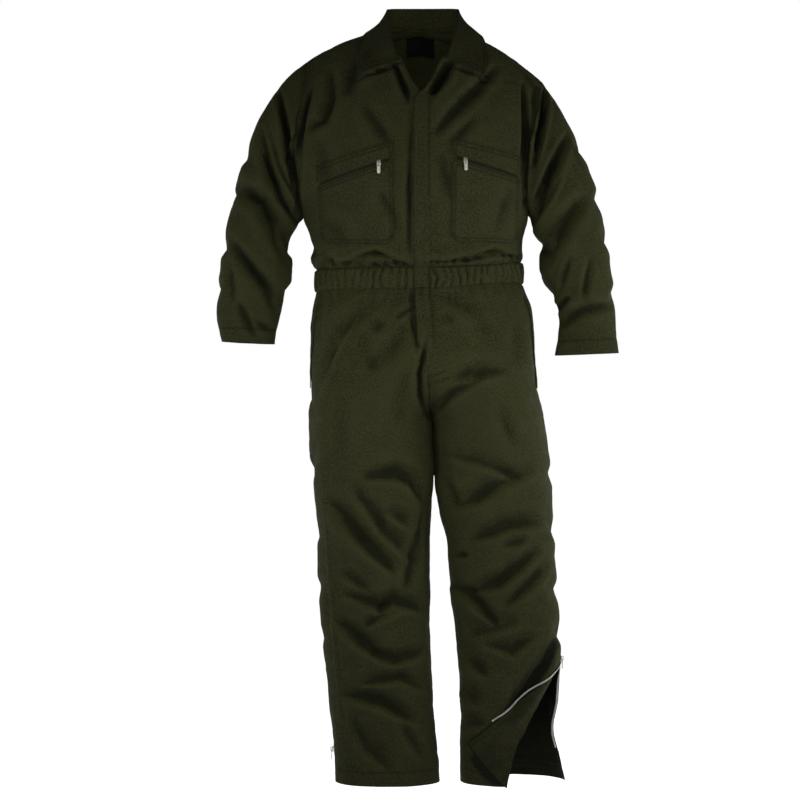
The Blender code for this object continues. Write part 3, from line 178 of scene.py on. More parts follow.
# Rings of the sleeves, from the armhole to the cuff: their outer and inner points seen from the front, half their
# depth, and the y of their middle.
SLEEVE = {
    RIGHT: table(
        "outer_x outer_z inner_x inner_z half middle",
        (-239, -24, -246, -343, 62, 0),
        (-271, -49, -251, -349, 67, 0),
        (-308, -92, -257, -356, 69, 0),
        (-339, -145, -263, -364, 68, 0),
        (-359, -200, -268, -376, 66, 0),
        (-375, -251, -271, -394, 64, -1),
        (-390, -306, -271, -415, 62, -3),
        (-402, -365, -268, -438, 60, -6),
        (-412, -432, -271, -468, 57, -10),
        (-419, -502, -284, -507, 52, -14),
        (-420, -547, -294, -548, 45, -18),
        (-416, -575, -300, -577, 41, -20),
        (-410, -596, -303, -601, 38, -22),
    ),
    LEFT: table(
        "outer_x outer_z inner_x inner_z half middle",
        (243, -65, 212, -338, 62, 0),
        (259, -89, 216, -346, 67, 0),
        (278, -119, 219, -356, 69, 0),
        (298, -159, 223, -369, 68, 0),
        (318, -204, 229, -386, 66, 0),
        (337, -251, 235, -402, 64, -1),
        (353, -302, 237, -420, 62, -3),
        (367, -363, 235, -447, 58, -6),
        (377, -432, 245, -478, 54, -10),
        (384, -494, 260, -506, 48, -14),
        (387, -541, 272, -539, 40, -18),
        (391, -588, 271, -580, 31, -20),
        (395, -619, 266, -624, 26, -22),
    ),
}

# The trousers seen from the front: outer edges, the middle line, and the two inner edges below the crotch.
TROUSERS_ACROSS = table(
    "z right_out middle left_out right_in left_in",
    (-1490, -181, 55, 289, 33, 73),
    (-1448, -183, 52, 280, 30, 73),
    (-1387, -188, 47, 269, 23, 73),
    (-1326, -194, 45, 272, 19, 73),
    (-1285, -198, 44, 277, 17, 72),
    (-1224, -204, 40, 278, 15, 67),
    (-1163, -210, 36, 277, 13, 60),
    (-1122, -214, 33, 273, 13, 55),
    (-1061, -217, 32, 268, 13, 51),
    (-1000, -218, 30, 266, 13, 46),
    (-959, -219, 26, 264, 14, 36),
    (-918, -222, 22, 261, 16, 28),
    (-875, -227, 20, 259, 19, 21.5),
    (-836, -231, 18, 255, 17, 19.2),
    (-796, -233, 15, 251, 14, 16.2),
    (-751, -234, 13, 244, 13, 13),
    (-714, -233, 10, 236, 10, 10),
    (-673, -231, 7, 229, 7, 7),
    (-612, -232, 2, 223, 2, 2),
    (-571, -232, -1, 222, -1, -1),
    (-540, -229, -3, 219, -3, -3),
    (-515, -224, -5, 211, -5, -5),
    (-494, -219, -6, 198, -6, -6),
)
# and from the side: how far the front and the back stand out from the side seams.
TROUSERS_DEEP = table(
    "z front back",
    (-1490, 59, 57),
    (-1326, 67, 63),
    (-1122, 84, 76),
    (-979, 97, 92),
    (-875, 110, 108),
    (-820, 119, 122),
    (-751, 130, 138),
    (-680, 136, 146),
    (-600, 131, 139),
    (-530, 118, 121),
    (-494, 107, 106),
)


def rows_between(heights, step):
    """Heights with more put evenly between them, none more than step apart."""
    found = [heights[0]]
    for high, low in zip(heights, heights[1:]):
        count = max(1, math.ceil((high - low) / step))
        found += [high + (low - high) * k / count for k in range(1, count + 1)]
    return np.array(found)


TROUSER_ROWS = rows_between([-494, SEAT_Z, CROTCH_Z, LEG_ZIP_TOP, LEG_ZIP_TOP - FOLD_START, HEM_Z], ROW_STEP)
CROTCH_ROW, ZIP_ROW = (int(np.argmin(abs(TROUSER_ROWS - z))) for z in (CROTCH_Z, LEG_ZIP_TOP))


# How far the wearer's left front falls in from the side seam below its open zip.
PARTED = table(
    "z inward",
    (-1490, 4),
    (-1449, 13),
    (-1408, 20),
    (-1340, 27),
    (-1300, 25),
    (-1265, 13),
    (-1244, 0),
    (-1000, 0),
    (-400, 0),
)

# The folds, as troughs pressed into the cloth along a line: half-width, depth, lean and the line's points as x and
# z. A fold that leans is steeper on the right of its line, with a higher ridge there.
UPPER_FRONT_FOLDS = (
    (10, 19, 0, -295, -97, -283, -147, -273, -201, -265, -257, -255, -305),
    (10, 15, 0, -233, -109, -249, -173, -253, -217, -253, -281),
    (13, 16, 0, -327, -183, -319, -223, -307, -265, -287, -311, -263, -345),
    (7, 7, 0, -313, -169, -295, -237, -277, -275, -253, -313),
    (24, 20, 0, -368, -287, -325, -317, -295, -371, -275, -426),
    (18, 12, 0, -388, -399, -356, -442, -317, -488, -299, -530),
    (12, 8, 0, -370, -526, -345, -576),
    (10, 6, 0, -337, -558, -305, -574),
    (14, 6, 0, -394, -438, -386, -506),
    (8, 21, 0, 245, -97, 237, -157, 223, -227),
    (6, -6, 0, 167, -13, 203, -39, 233, -81, 225, -137, 213, -213, 207, -293),
    (8, 17, 0, 199, -97, 203, -181, 199, -243, 201, -313),
    (13, 22, 0, 284, -193, 258, -249, 233, -313, 219, -353),
    (7, 7, 0, 266, -277, 233, -339),
    (23, 19, 0, 308, -321, 284, -353, 258, -389, 233, -440),
    (8, 13, 0, 258, -538, 286, -512),
    (16, 10, 0, 272, -560, 314, -534, 366, -524),
    (8, 5, 0, 290, -434, 274, -486),
    (5, 3, 0, 288, -173, 312, -235, 328, -245),
    (10, 6, 0, 332, -438, 320, -506),
    (17, 14, 0, -189, -65, -189, -112, -204, -157, -222, -167),
    (26, 12, 0, -143, -26, -157, -97),
    (8, 12, 0, -57, -57, -35, -122),
    (14, 19, 0, 49, -49, 18, -104),
    (16, 11, 0, 136, -57, 102, -100, 53, -154, 32, -179),
    (6, 7, 0, -27, -155, -30, -250, -32, -429),
    (6, 6, 0, -126, -77, -88, -63, -49, -49),
    (6, 6, 0, 45, -49, 85, -63, 124, -75),
    (15, 5, 0, 95, -163, 53, -205),
    (12, 14, 0, -210, -419, -187, -443),
    (8, 13, 0, -179, -447, -149, -441, -124, -431, -100, -425, -71, -435, -41, -447),
    (8, 13, 0, 38, -443, 65, -437, 95, -433, 120, -425, 142, -419, 185, -425),
    (8, 6, 0, -2, -443, 30, -443),
    (24, 6, 0, -206, -352, -157, -397),
    (21, 6, 0, -210, -203, -195, -273),
    (21, 6, 0, 171, -301, 144, -372),
    (18, 5, 0, -84, -313, -55, -372),
    (21, 5, 0, 30, -242, 53, -313),
    (18, 5, 0, -118, -140, -73, -203),
)
LOWER_FRONT_FOLDS = (
    (24, 6, 0, -179, -576, -140, -552, -106, -524),
    (17, 9, 0, -211, -520, -221, -596, -221, -647),
    (21, 4, 0, -122, -578, -116, -619, -100, -643),
    (24, 5, 0, -27, -560, -65, -615, -100, -643),
    (8, 5, 0, -55, -552, -25, -530),
    (7, -4, 0, -138, -558, -175, -629, -199, -690, -213, -732),
    (21, 6, 0, -185, -597, -205, -657),
    (21, 5, 0.3, 38, -509, 69, -524, 105, -544),
    (21, 3, 0, 99, -552, 123, -580),
    (15, 4, 0, 36, -546, 56, -556),
    (8, 9, 0, -2, -615, -11, -663, -8, -706, 4, -742),
    (6, 7, 0, -27, -501, -24, -556, -15, -619),
    (4, 3, 0.3, 12, -667, 26, -665, 42, -657),
    (4, 3, 0.3, 14, -682, 30, -680, 46, -671),
    (4, 2, 0.3, 16, -694, 38, -692),
    (18, 11, 0.4, 50, -676, 87, -659, 143, -655),
    (12, 11, 0.5, 20, -738, 56, -700, 101, -675),
    (30, 6, 0, -167, -722, -175, -769, -166, -817),
    (24, 6, 0, 188, -560, 192, -639),
    (24, 5, 0, -41, -671, -53, -753),
    (7, -4, 0, 210, -619, 222, -671, 229, -726),
    (21, 6, 0, 148, -730, 172, -793),
    (18, 6, 0.4, -104, -576, -81, -560),
    (16, 16, 0.75, -103, -867, -57, -863, -25, -877, -7, -907),
    (19, 18, 0.75, -192, -919, -168, -945, -133, -989, -75, -1043),
    (17, 11, 0.75, -131, -903, -81, -975, -41, -1013, -23, -1027),
    (20, 18, 0, 9, -937, -7, -1013, -33, -1078),
    (16, 16, 0.75, -143, -1108, -89, -1128, -61, -1116, -11, -1132),
    (13, 11, 0.75, -111, -1162, -85, -1144, -55, -1132),
    (17, 16, 0.75, -166, -1166, -133, -1196, -95, -1224),
    (14, 11, 0.75, -93, -1226, -59, -1236, -7, -1224),
    (13, 9, 0.75, -115, -1281, -49, -1271, -15, -1289),
    (17, 16, 0.75, -145, -1309, -89, -1323, -39, -1349),
    (20, 9, 0.75, -139, -1367, -117, -1411, -79, -1445),
    (14, 6, 0, -41, -1369, -7, -1429),
    (4, -3, 0, -212, -794, -204, -923, -188, -1112, -176, -1271, -168, -1395),
    (16, 9, 0.75, -69, -937, -25, -965),
    (14, 8, 0.75, -160, -1062, -113, -1092),
    (15, 10, 0, 41, -877, 57, -919),
    (20, 12, 0.75, 55, -927, 102, -913, 150, -879, 194, -863),
    (17, 11, 0.75, 108, -987, 170, -965, 230, -959),
    (7, 7, 0.75, 61, -1029, 84, -1025),
    (16, 15, 0.75, 102, -1094, 150, -1080, 186, -1052, 216, -1027),
    (13, 18, 0.75, 62, -1092, 98, -1116, 132, -1152),
    (17, 11, 0.75, 172, -1114, 218, -1076, 252, -1043),
    (20, 9, 0.75, 100, -1182, 150, -1168, 174, -1160),
    (17, 9, 0.75, 128, -1202, 174, -1216, 212, -1192),
    (17, 14, 0, 266, -1204, 240, -1248, 208, -1291, 172, -1333),
    (8, 11, 0, 23, -953, 11, -1033, 9, -1152, 17, -1291),
    (17, 7, 0.75, 76, -1369, 114, -1363),
    (14, 8, 0.75, 47, -824, 106, -837, 178, -867),
    (14, 8, 0.75, 86, -1240, 122, -1264),
    (17, 8, 0.75, 74, -1291, 102, -1327),
    (16, 8, 0.75, 156, -1005, 198, -995),
)
UPPER_BACK_FOLDS = (
    (10, 12, 0, -228, -120, -258, -190, -262, -260, -246, -330),
    (9, 11, 0, 225, -130, 240, -200, 226, -300),
    (14, 12, 0.3, -300, -190, -276, -260, -262, -330),
    (17, 13, 0.3, -360, -250, -320, -320, -285, -380),
    (13, 10, 0.3, -395, -400, -350, -450, -300, -470),
    (11, 8, 0.3, -400, -510, -340, -540),
    (13, 12, 0.3, 290, -180, 262, -250, 245, -320),
    (17, 12, 0.3, 345, -280, 300, -330, 250, -390),
    (13, 10, 0.3, 365, -400, 320, -440, 262, -455),
    (11, 8, 0.3, 380, -500, 300, -520),
    (19, 10, 0.2, -190, -95, -150, -150, -110, -200),
    (17, 10, 0.2, 180, -110, 140, -165, 100, -215),
    (24, 6, 0, -70, -62, 0, -70, 60, -66),
    (15, 11, 0.5, -200, -330, -150, -372, -90, -392),
    (15, 11, 0.5, 190, -325, 140, -366, 70, -388),
    (12, 10, 0.5, -170, -418, -90, -424, -20, -430),
    (12, 10, 0.5, 20, -432, 90, -426, 160, -418),
    (13, 8, 0.4, -100, -350, -20, -372, 50, -366),
    (12, 6, 0.3, -60, -250, -20, -300),
    (12, 6, 0.3, 70, -240, 40, -290),
    (20, 6, 0, -120, -250, -130, -320),
    (18, 6, 0, 130, -250, 125, -320),
)
LOWER_BACK_FOLDS = (
    (14, 10, 0.4, 13, -745, 60, -772, 110, -780),
    (14, 10, 0.4, 10, -745, -40, -775, -95, -790),
    (18, 7, 0.2, -120, -600, -60, -650),
    (18, 7, 0.2, 120, -590, 60, -645),
    (12, 8, 0.4, 30, -800, 90, -812, 140, -805),
    (12, 8, 0.4, -20, -806, -80, -820, -140, -812),
    (13, 9, 0.4, -188, -842, -126, -876, -62, -868),
    (13, 8, 0.4, 84, -848, 146, -882, 206, -862),
    (13, 13, 0.5, -200, -948, -150, -986, -92, -990, -44, -962),
    (10, 10, 0.5, -192, -1028, -138, -1036, -84, -1066),
    (13, 11, 0.45, -64, -1072, -110, -1106, -176, -1094),
    (12, 12, 0.5, 78, -946, 124, -984, 196, -996),
    (11, 9, 0.5, 222, -1012, 176, -1046, 110, -1040),
    (13, 12, 0.5, 92, -1086, 138, -1124, 190, -1120, 228, -1090),
    (9, 8, 0.4, -164, -1138, -118, -1170, -58, -1178),
    (9, 8, 0.45, 118, -1166, 168, -1182, 224, -1212),
    (14, 8, 0.4, -150, -1238, -104, -1292, -52, -1352),
    (13, 8, 0.4, 232, -1262, 178, -1296, 128, -1362),
    (10, 7, 0.4, -148, -1398, -96, -1412),
    (10, 7, 0.4, 104, -1404, 158, -1430),
    (14, 6, 0, -120, -520, -110, -580),
    (14, 6, 0, 110, -515, 100, -575),
)

# Folds of the outer sides, by y and z.
SIDE_FOLDS = (
    (16, 10, 0.5, -50, -170, -10, -215, 36, -232),
    (18, 12, 0.6, 44, -260, 0, -300, -52, -318),
    (16, 11, 0.6, -46, -372, 0, -408, 40, -418),
    (15, 9, 0.5, 30, -470, -14, -500, -50, -508),
    (20, 9, 0.4, -80, -640, -20, -700, 50, -730),
    (20, 10, 0.5, 84, -790, 20, -850, -60, -872),
    (20, 12, 0.6, -84, -930, -20, -985, 50, -1000),
    (18, 11, 0.6, 76, -1040, 10, -1090, -60, -1108),
    (18, 10, 0.6, -60, -1165, 0, -1200, 40, -1206),
    (18, 9, 0.5, 56, -1290, 20, -1340, -10, -1420),
)

# Where the front lies in deep shade, under the collar and in its sharpest folds: half-width, how much, and x and z.
SHADES = (
    (5, 1.2, 0, -126, -74, -88, -59, -47, -45),
    (4, 1.0, 0, 43, -45, 85, -58, 128, -71),
    (7, 1.2, 0, -55, -57, -39, -93, -21, -124),
    (9, 0.9, 0, 49, -55, 32, -89, 12, -126),
    (8, 1.5, 0, -295, -117, -283, -161, -273, -219, -255, -303, -245, -337),
    (7, 1.4, 0, -233, -109, -241, -161, -255, -205, -258, -259, -249, -311),
    (8, 1.2, 0, -325, -223, -303, -267, -281, -321, -263, -351),
    (18, 0.6, 0, -343, -303, -307, -347, -273, -410),
    (12, 0.5, 0, -370, -410, -335, -462, -307, -498),
    (8, 1.4, 0, 203, -89, 207, -153, 205, -213, 203, -293, 199, -341),
    (8, 1.3, 0, 251, -115, 235, -159, 217, -197),
    (8, 1.2, 0, 266, -205, 241, -267, 215, -325),
    (10, 0.8, 0, 255, -379, 231, -426),
    (8, 1.1, 0, 255, -504, 274, -530),
    (8, 1.0, 0, -147, -447, -118, -441, -78, -443, -27, -449),
    (7, 1.1, 0, 43, -441, 89, -437, 138, -427, 185, -423),
    (4, 0.8, 0, -35, -222, -32, -321, -31, -419),
    (3.5, 1.1, 0, -20, -499, -15, -556, -8, -617),
    (4, 1.2, 0, -2, -619, -11, -663, -8, -706, 4, -742, 14, -773),
    (8, 0.6, 0, 22, -698, 16, -734, 22, -769),
    (27, 3.0, 0, 262, -1204, 240, -1242, 210, -1281, 174, -1323),
    (18, 2.0, 0, 98, -1435, 122, -1459, 148, -1483),
    (5, 1.2, 0, 7, -923, 5, -993, 5, -1072, 7, -1142),
    (4, 0.9, 0, 13, -1291, 19, -1371, 27, -1471),
)

# The collar, from its front end (0) round the neck to the centre back (1): how its fold stands over the neck
# seam, and where its outer edge lies. x is measured out from the centre.
COLLAR = table(
    "way fold_x fold_y fold_z edge_x edge_y edge_z",
    (0.00, 45, -104, -36, 121, -92, -68),
    (0.18, 56, -88, -10, 128, -60, -32),
    (0.36, 64, -48, 30, 127, -28, 4),
    (0.54, 70, 6, 66, 114, 4, 31),
    (0.68, 72, 42, 92, 94, 48, 33),
    (0.82, 56, 62, 98, 60, 82, 36),
    (1.00, 0, 66, 99, 0, 95, 38),
)
COLLAR_ROLL = 2.2  # how far the fold rolls above its line

# Chest pockets: the zip mouth slants, and the lower corners are cut off.
POCKET = {
    RIGHT: dict(inner=-61, outer=-214, foot=-205, top=(-207, -250), mouth=(-242, -288), bottom=(-410, -402)),
    LEFT: dict(inner=52, outer=191, foot=184, top=(-203, -230), mouth=(-239, -272), bottom=(-404, -402)),
}
MOUTH_HALF = 4.0  # half the height of the zip mouth
MOUTH_START = 0.06  # the zip starts this share of the width in from the inner edge
CORNER = 14.0  # cut-off corner

# Places of the tacks as x and z, the bar's angle, and how high it lies over the panel.
BARTACKS = (
    (-4.5, -251.5, 0, 2.6),
    (-4.5, -328.5, 0, 2.6),
    (2.5, -656.0, -25, 0.1),
    (-72.0, -210.0, 20, 2.6),
    (-203.0, -250.0, 20, 2.6),
    (60.0, -209.0, -15, 2.6),
    (184.0, -232.0, -15, 2.6),
)

# What each piece stands for and the cut of its cloth: its node, how it is held, the panels that hold it, and its
# width and length in millimetres and its area in square metres.
CUTS = (
    ("bodice_back", "hung", "sleeve_left sleeve_right", 612, 643, 0.34),
    ("bodice_front_left", "hung", "bodice_back", 285, 580, 0.1188),
    ("bodice_front_right", "hung", "bodice_back", 305, 580, 0.1319),
    ("sleeve_left", "hung", "bodice_back bodice_front_left", 638, 585, 0.1789),
    ("sleeve_right", "hung", "bodice_back bodice_front_right", 719, 625, 0.1826),
    ("collar", "folded", "bodice_back", 607, 119, 0.0575),
    ("placket_bodice", "laid", "bodice_front_left", 32, 435, 0.0122),
    ("neck_facing_right", "laid", "bodice_front_right", 12, 71, 0.0008),
    ("placket_fly", "laid", "trouser_front_left", 33, 123, 0.004),
    ("front_zip", "laid", "bodice_front_right", 354, 10.5, 0.0025),
    ("waistband_back", "gathered", "bodice_back", 594, 45, 0.0267),
    ("waistband_front_left", "gathered", "bodice_front_left", 280, 44, 0.0111),
    ("waistband_front_right", "gathered", "bodice_front_right", 287, 45, 0.0122),
    ("waistband_tab", "laid", "waistband_front_left", 32, 39, 0.0012),
    ("trouser_back_left", "hung", "waistband_back", 405, 1086, 0.3166),
    ("trouser_back_right", "hung", "waistband_back", 418, 1083, 0.3217),
    ("trouser_front_left", "hung", "waistband_front_left", 393, 1079, 0.3105),
    ("trouser_front_right", "hung", "waistband_front_right", 403, 1076, 0.3246),
    ("chest_pocket_left_band", "laid", "bodice_front_left", 161, 39, 0.0059),
    ("chest_pocket_left_patch", "laid", "bodice_front_left", 166, 161, 0.0233),
    ("chest_pocket_right_band", "laid", "bodice_front_right", 168, 35, 0.0056),
    ("chest_pocket_right_patch", "laid", "bodice_front_right", 173, 163, 0.0232),
    ("chest_zip_left", "laid", "bodice_front_left", 143, 10.5, 0.0011),
    ("chest_zip_right", "laid", "bodice_front_right", 152, 10.5, 0.0012),
    ("side_pocket_welt_left", "laid", "trouser_front_left", 12, 186, 0.0023),
    ("side_pocket_welt_right", "laid", "trouser_front_right", 13, 172, 0.0022),
    ("leg_zip_right", "hung", "trouser_front_right", 172, 10.5, 0.0016),
    ("leg_zip_left_back_tape", "hung", "trouser_back_left", 172, 10.5, 0.0007),
    ("leg_zip_left_front_tape", "laid", "trouser_front_left", 189, 10.5, 0.0009),
    ("neck_label", "laid", "bodice_back", 59, 42, 0.0025),
)
WHOLE_ZIPS = ("front_zip", "chest_zip_left", "chest_zip_right", "leg_zip_right")  # their cloth is a "_tape"
TRIMS = {
    "chest_zip_left_teeth": "zip_tape",
    "chest_zip_right_teeth": "zip_tape",
    "leg_zip_right_teeth": "zip_metal",
    "leg_zip_left_back_teeth": "zip_metal",
    "leg_zip_left_front_teeth": "zip_metal",
    "bartacks": "twill",
}

# Soft boxes: their place, side and power, the angle that their beam is held to and, where it is not the middle of
# the suit, what they aim at.
LIGHTS = (
    ("key", (0.0, -1.0, -0.65), 0.5, 2.6, 180),
    ("side_right", (-1.15, -1.15, -0.62), 0.5, 1.0, 100),
    ("side_left", (1.15, -1.15, -0.62), 0.5, 1.0, 100),
    ("edge_right", (-1.5, -0.3, -0.7), 0.6, 2.0, 180),
    ("edge_left", (1.5, -0.3, -0.7), 0.6, 6.6, 180),
    ("back_right", (-1.5, 1.0, -0.7), 0.8, 4.0, 180),
    ("back_left", (1.5, 1.0, -0.7), 0.8, 6.5, 180),
    ("top", (0.0, -0.6, 1.2), 0.8, 2.2, 180),
    ("neck", (-0.006, -0.10, 0.03), 0.06, 0.022, 120, (0.0, 0.10, -0.02)),
)
WORLD_LIGHT = 0.062
FLOOR_GLOW = 0.97
FLOOR_Z = -1.62
FLOOR_RADIUS = 9.0
INSIDE_SHADE = 1.25  # least shade of the trousers' inner side


# --- Reading tables and measuring along cloth ------------------------------------------------------------------


def smooth(at, keys, values):
    """Monotone cubic through the rows (keys, values), so nothing overshoots between two rows."""
    step = np.diff(keys)
    slope = np.diff(values) / step
    before, after = slope[:-1], slope[1:]
    same = before * after > 0
    near, far = 2 * step[1:] + step[:-1], step[1:] + 2 * step[:-1]
    inner = (near + far) / (near / np.where(same, before, 1) + far / np.where(same, after, 1))
    tangent = np.concatenate([slope[:1], np.where(same, inner, 0), slope[-1:]])
    i = np.clip(np.searchsorted(keys, at) - 1, 0, len(step) - 1)
    t = (at - keys[i]) / step[i]
    start = (1 + 2 * t) * (1 - t) ** 2 * values[i] + t * (1 - t) ** 2 * step[i] * tangent[i]
    return start + t * t * (3 - 2 * t) * values[i + 1] + t * t * (t - 1) * step[i] * tangent[i + 1]


def read(rows, at, *names):
    """Values of the named columns at values of the table's first column."""
    keys = next(iter(rows.values()))
    return [smooth(at, keys, rows[name]) for name in names]


def unit(vectors):
    lengths = np.linalg.norm(vectors, axis=-1, keepdims=True)
    return vectors / np.where(lengths < 1e-9, 1.0, lengths)


def ease(t):
    t = np.clip(t, 0.0, 1.0)
    return t * t * (3 - 2 * t)


def along_place(line, distance):
    """The row of a polyline at a distance from its start, measured by its first three columns."""
    lengths = np.linalg.norm(np.diff(line[:, :3], axis=0), axis=1)
    reached = np.concatenate([[0], np.cumsum(lengths)])
    return np.array([np.interp(distance, reached, line[:, axis]) for axis in range(line.shape[1])])


def length_of(line):
    return float(np.linalg.norm(np.diff(line[:, :3], axis=0), axis=1).sum())


def spread(line, count):
    """count + 1 rows at even distances along a polyline."""
    whole = length_of(line)
    return np.array([along_place(line, whole * k / count) for k in range(count + 1)])


def run_from_start(points, axis):
    """Distances along the cloth from the first column (axis 0) or the first row (axis 1)."""
    steps = np.linalg.norm(np.diff(points, axis=axis), axis=2)
    return np.insert(np.cumsum(steps, axis=axis), 0, 0, axis=axis)


def edges_away(points):
    """Distances of every point from the first and last column, and from the first and last row."""
    across, down = run_from_start(points, 0), run_from_start(points, 1)
    return across, across[-1:] - across, down, down[:, -1:] - down


def noise_at(points, size, seed=0.0):
    """Smooth noise from -1 to 1 at points in millimetres. size is one length, or three."""
    scaled = points / np.array(size) + np.array([seed, 0.37 * seed, 1.7 * seed])
    flat = scaled.reshape(-1, 3)
    return np.array([noise.noise(p) for p in flat.tolist()]).reshape(points.shape[:-1])


# --- Grids of points -------------------------------------------------------------------------------------------


def seam_normals(sheets):
    """Outward normals for every grid in sheets, {name: (points, way, limb)}, where way is 1 if columns crossed
    with rows point outward. Each limb is one smooth surface, and where two limbs meet both count the same."""
    everything = np.concatenate([points.reshape(-1, 3) for points, _, _ in sheets.values()])
    _, index = np.unique(np.round(everything, 3) + 0.0, axis=0, return_inverse=True)
    index = index.reshape(-1)
    limbs = sorted({limb for _, _, limb in sheets.values()})
    total = np.zeros((len(limbs), index.max() + 1, 3))
    places, start = {}, 0
    for name, (points, way, limb) in sheets.items():
        count = points.shape[0] * points.shape[1]
        places[name] = index[start : start + count].reshape(points.shape[:2])
        start += count
        crossed = np.cross(points[1:, 1:] - points[:-1, :-1], points[:-1, 1:] - points[1:, :-1]) * way
        at = places[name]
        for corner in (at[:-1, :-1], at[1:, :-1], at[1:, 1:], at[:-1, 1:]):
            np.add.at(total[limbs.index(limb)], corner, crossed)
    normals = unit(unit(total).sum(0))
    return {name: normals[at] for name, at in places.items()}


def trough_depth(points, folds):
    """How deep the folds press in at each point, by its x and z. Low ridges stand beside each trough, and its ends
    taper off."""
    x, z = points[..., 0], points[..., 2]
    total = np.zeros(x.shape)
    for wide, deep, lean, *numbers in folds:
        line = np.array(numbers, float).reshape(-1, 2)
        ends = line[[0, -1]] - line[[1, -2]]
        more = min(0.22 * np.linalg.norm(np.diff(line, axis=0), axis=1).sum(), 26.0)
        line[[0, -1]] += unit(ends) * more
        steps = np.diff(line, axis=0)
        lengths = np.linalg.norm(steps, axis=1)
        away, side, share, passed = np.full(x.shape, np.inf), np.zeros(x.shape), np.zeros(x.shape), 0.0
        for (x0, z0), (step_x, step_z), length in zip(line, steps, lengths):
            if length < 1e-6:
                continue
            inside = np.clip(((x - x0) * step_x + (z - z0) * step_z) / length**2, 0, 1)
            off_x, off_z = x - x0 - inside * step_x, z - z0 - inside * step_z
            here = np.hypot(off_x, off_z)
            nearer = here < away
            away = np.where(nearer, here, away)
            side = np.where(nearer, (off_x * step_z - off_z * step_x) / (length * np.maximum(here, 2.0)), side)
            share = np.where(nearer, (passed + inside * length) / lengths.sum(), share)
            passed += length
        full = np.sin(np.pi * share)
        away = away / (wide * (0.65 + 0.35 * full) * (1 - lean * side * np.where(side > 0, 0.5, 1.2)))
        beyond = np.maximum(away - 1.5, 0) * lean * np.maximum(side, 0)
        away = away - 0.7 * beyond
        profile = (1 - away**2) * np.exp(-0.8 * away**2) * np.where(away > 1, 1 + 1.1 * lean * side, 1)
        total += 1.2 * deep * profile * full**0.8
    return total


def pressed(points, normals, front, back, middle=0.0, kept=1.0):
    """The grid with the folds of the front and of the back pressed in along its normals."""
    share = ease((12 - points[..., 1] + middle) / 24)
    depth = trough_depth(points, front) * share + trough_depth(points, back) * (1 - share)
    facing = normals[..., 0] * np.sign(points[..., 0])
    depth *= 1 - 0.75 * ease((facing - 0.5) / 0.4) - 0.45 * ease((-facing - 0.5) / 0.4)
    turned = np.stack([(points[..., 1] - middle) * np.sign(normals[..., 0]), points[..., 0], points[..., 2]], -1)
    outer = ease((abs(normals[..., 0]) - 0.6) / 0.35) * ease((abs(points[..., 0]) - 170) / 80)
    depth += 0.5 * trough_depth(turned, SIDE_FOLDS) * outer
    return points - normals * (depth * kept)[..., None]


def shaded_places(points, rows=SHADES):
    """How much more shade each point of the front has, from 0."""
    return np.maximum(trough_depth(points, rows), 0) * ease((12 - points[..., 1]) / 24)


def creases(points):
    """Depth of the thin slanting creases of worn twill, in patches."""
    x, y, z = points[..., 0], points[..., 1], points[..., 2]
    total = np.zeros(x.shape)
    for angle, seed in ((38, 4.4), (-36, 9.9), (8, 15.2)):
        c, s = math.cos(math.radians(angle)), math.sin(math.radians(angle))
        turned = np.stack([x * c + z * s, 0.8 * y, z * c - x * s], -1)
        line = 1 - np.clip(abs(noise_at(turned, (105, 60, 30), seed)) / 0.34, 0, 1)
        total += ease(line) * ease(0.45 + 1.9 * noise_at(points, 120, seed + 1))
    return total


def rumpled(points, normals):
    """The grid with the soft unevenness of worn twill."""
    height = 1.8 * noise_at(points, 62, 3.1) + 0.8 * noise_at(points, (24, 30, 30), 8.3)
    height += 0.2 * noise_at(points, 11, 5.7) - 0.6 * creases(points)
    return points + normals * height[..., None]


def wall(points, normals):
    """(outer, inner) grids of a wall whose outer side is the given points."""
    return points.copy(), points - normals * CLOTH


def drawn_in(sides, start=0.0, end=0.0, first=0.0, last=0.0):
    """The wall with its edges pulled back: start and end are the first and last columns, and first and last the
    first and last rows. start and end are a number, or one number for each point of the edge."""
    outer, inner = (grid.copy() for grid in sides)
    columns, rows = outer.shape[:2]
    run = run_from_start(outer, 0)
    start, end = np.broadcast_to(start, rows), np.broadcast_to(end, rows)
    for j in range(rows):
        whole = run[-1, j]
        if whole < 1e-6:
            continue
        wanted = start[j] + (whole - start[j] - end[j]) * run[:, j] / whole
        at = np.interp(wanted, run[:, j], np.arange(columns))
        for grid in (outer, inner):
            line = grid[:, j].copy()
            grid[:, j] = np.stack([np.interp(at, np.arange(columns), line[:, k]) for k in range(3)], -1)
    for amount, edge, inside in ((first, 0, 1), (last, -1, -2)):
        if amount:
            for grid in (outer, inner):
                grid[:, edge] += unit(grid[:, inside] - grid[:, edge]) * amount
    return outer, inner


# --- Meshes ----------------------------------------------------------------------------------------------------


def marks_of(points, start=False, end=False, first=False, last=False, hem=None):
    """What the twill's stitching is drawn from: the distance to the nearest stitched edge, the place along it,
    and the distance to the hem, the last row."""
    across, across_back, down, down_back = edges_away(points)
    far = np.full(points.shape[:2], 999.0)
    rim, run = far.copy(), np.zeros(far.shape)
    edges = ((start, across, down), (end, across_back, down), (first, down, across), (last, down_back, across))
    for wanted, away, place in edges:
        if wanted is False:
            continue
        away = away if wanted is True else away + np.where(wanted, 0, 999.0)
        nearer = away < rim
        rim, run = np.where(nearer, away, rim), np.where(nearer, place, run)
    hem_away = down_back if hem else far
    return rim, np.where(hem_away < 40, across, run), hem_away


def one_line(points, closed=False, lowest=-9999.0):
    """The marks of a placket: one stitch line along its last column down to the height lowest and, if it is closed,
    a line at its first."""
    across, across_back, down, _ = edges_away(points)
    rim = across_back + np.where(points[..., 2] > lowest, 6.6, 999.0)
    if closed:
        rim = np.minimum(rim, across + 8.3)
    return rim, down, np.full(points.shape[:2], 999.0)


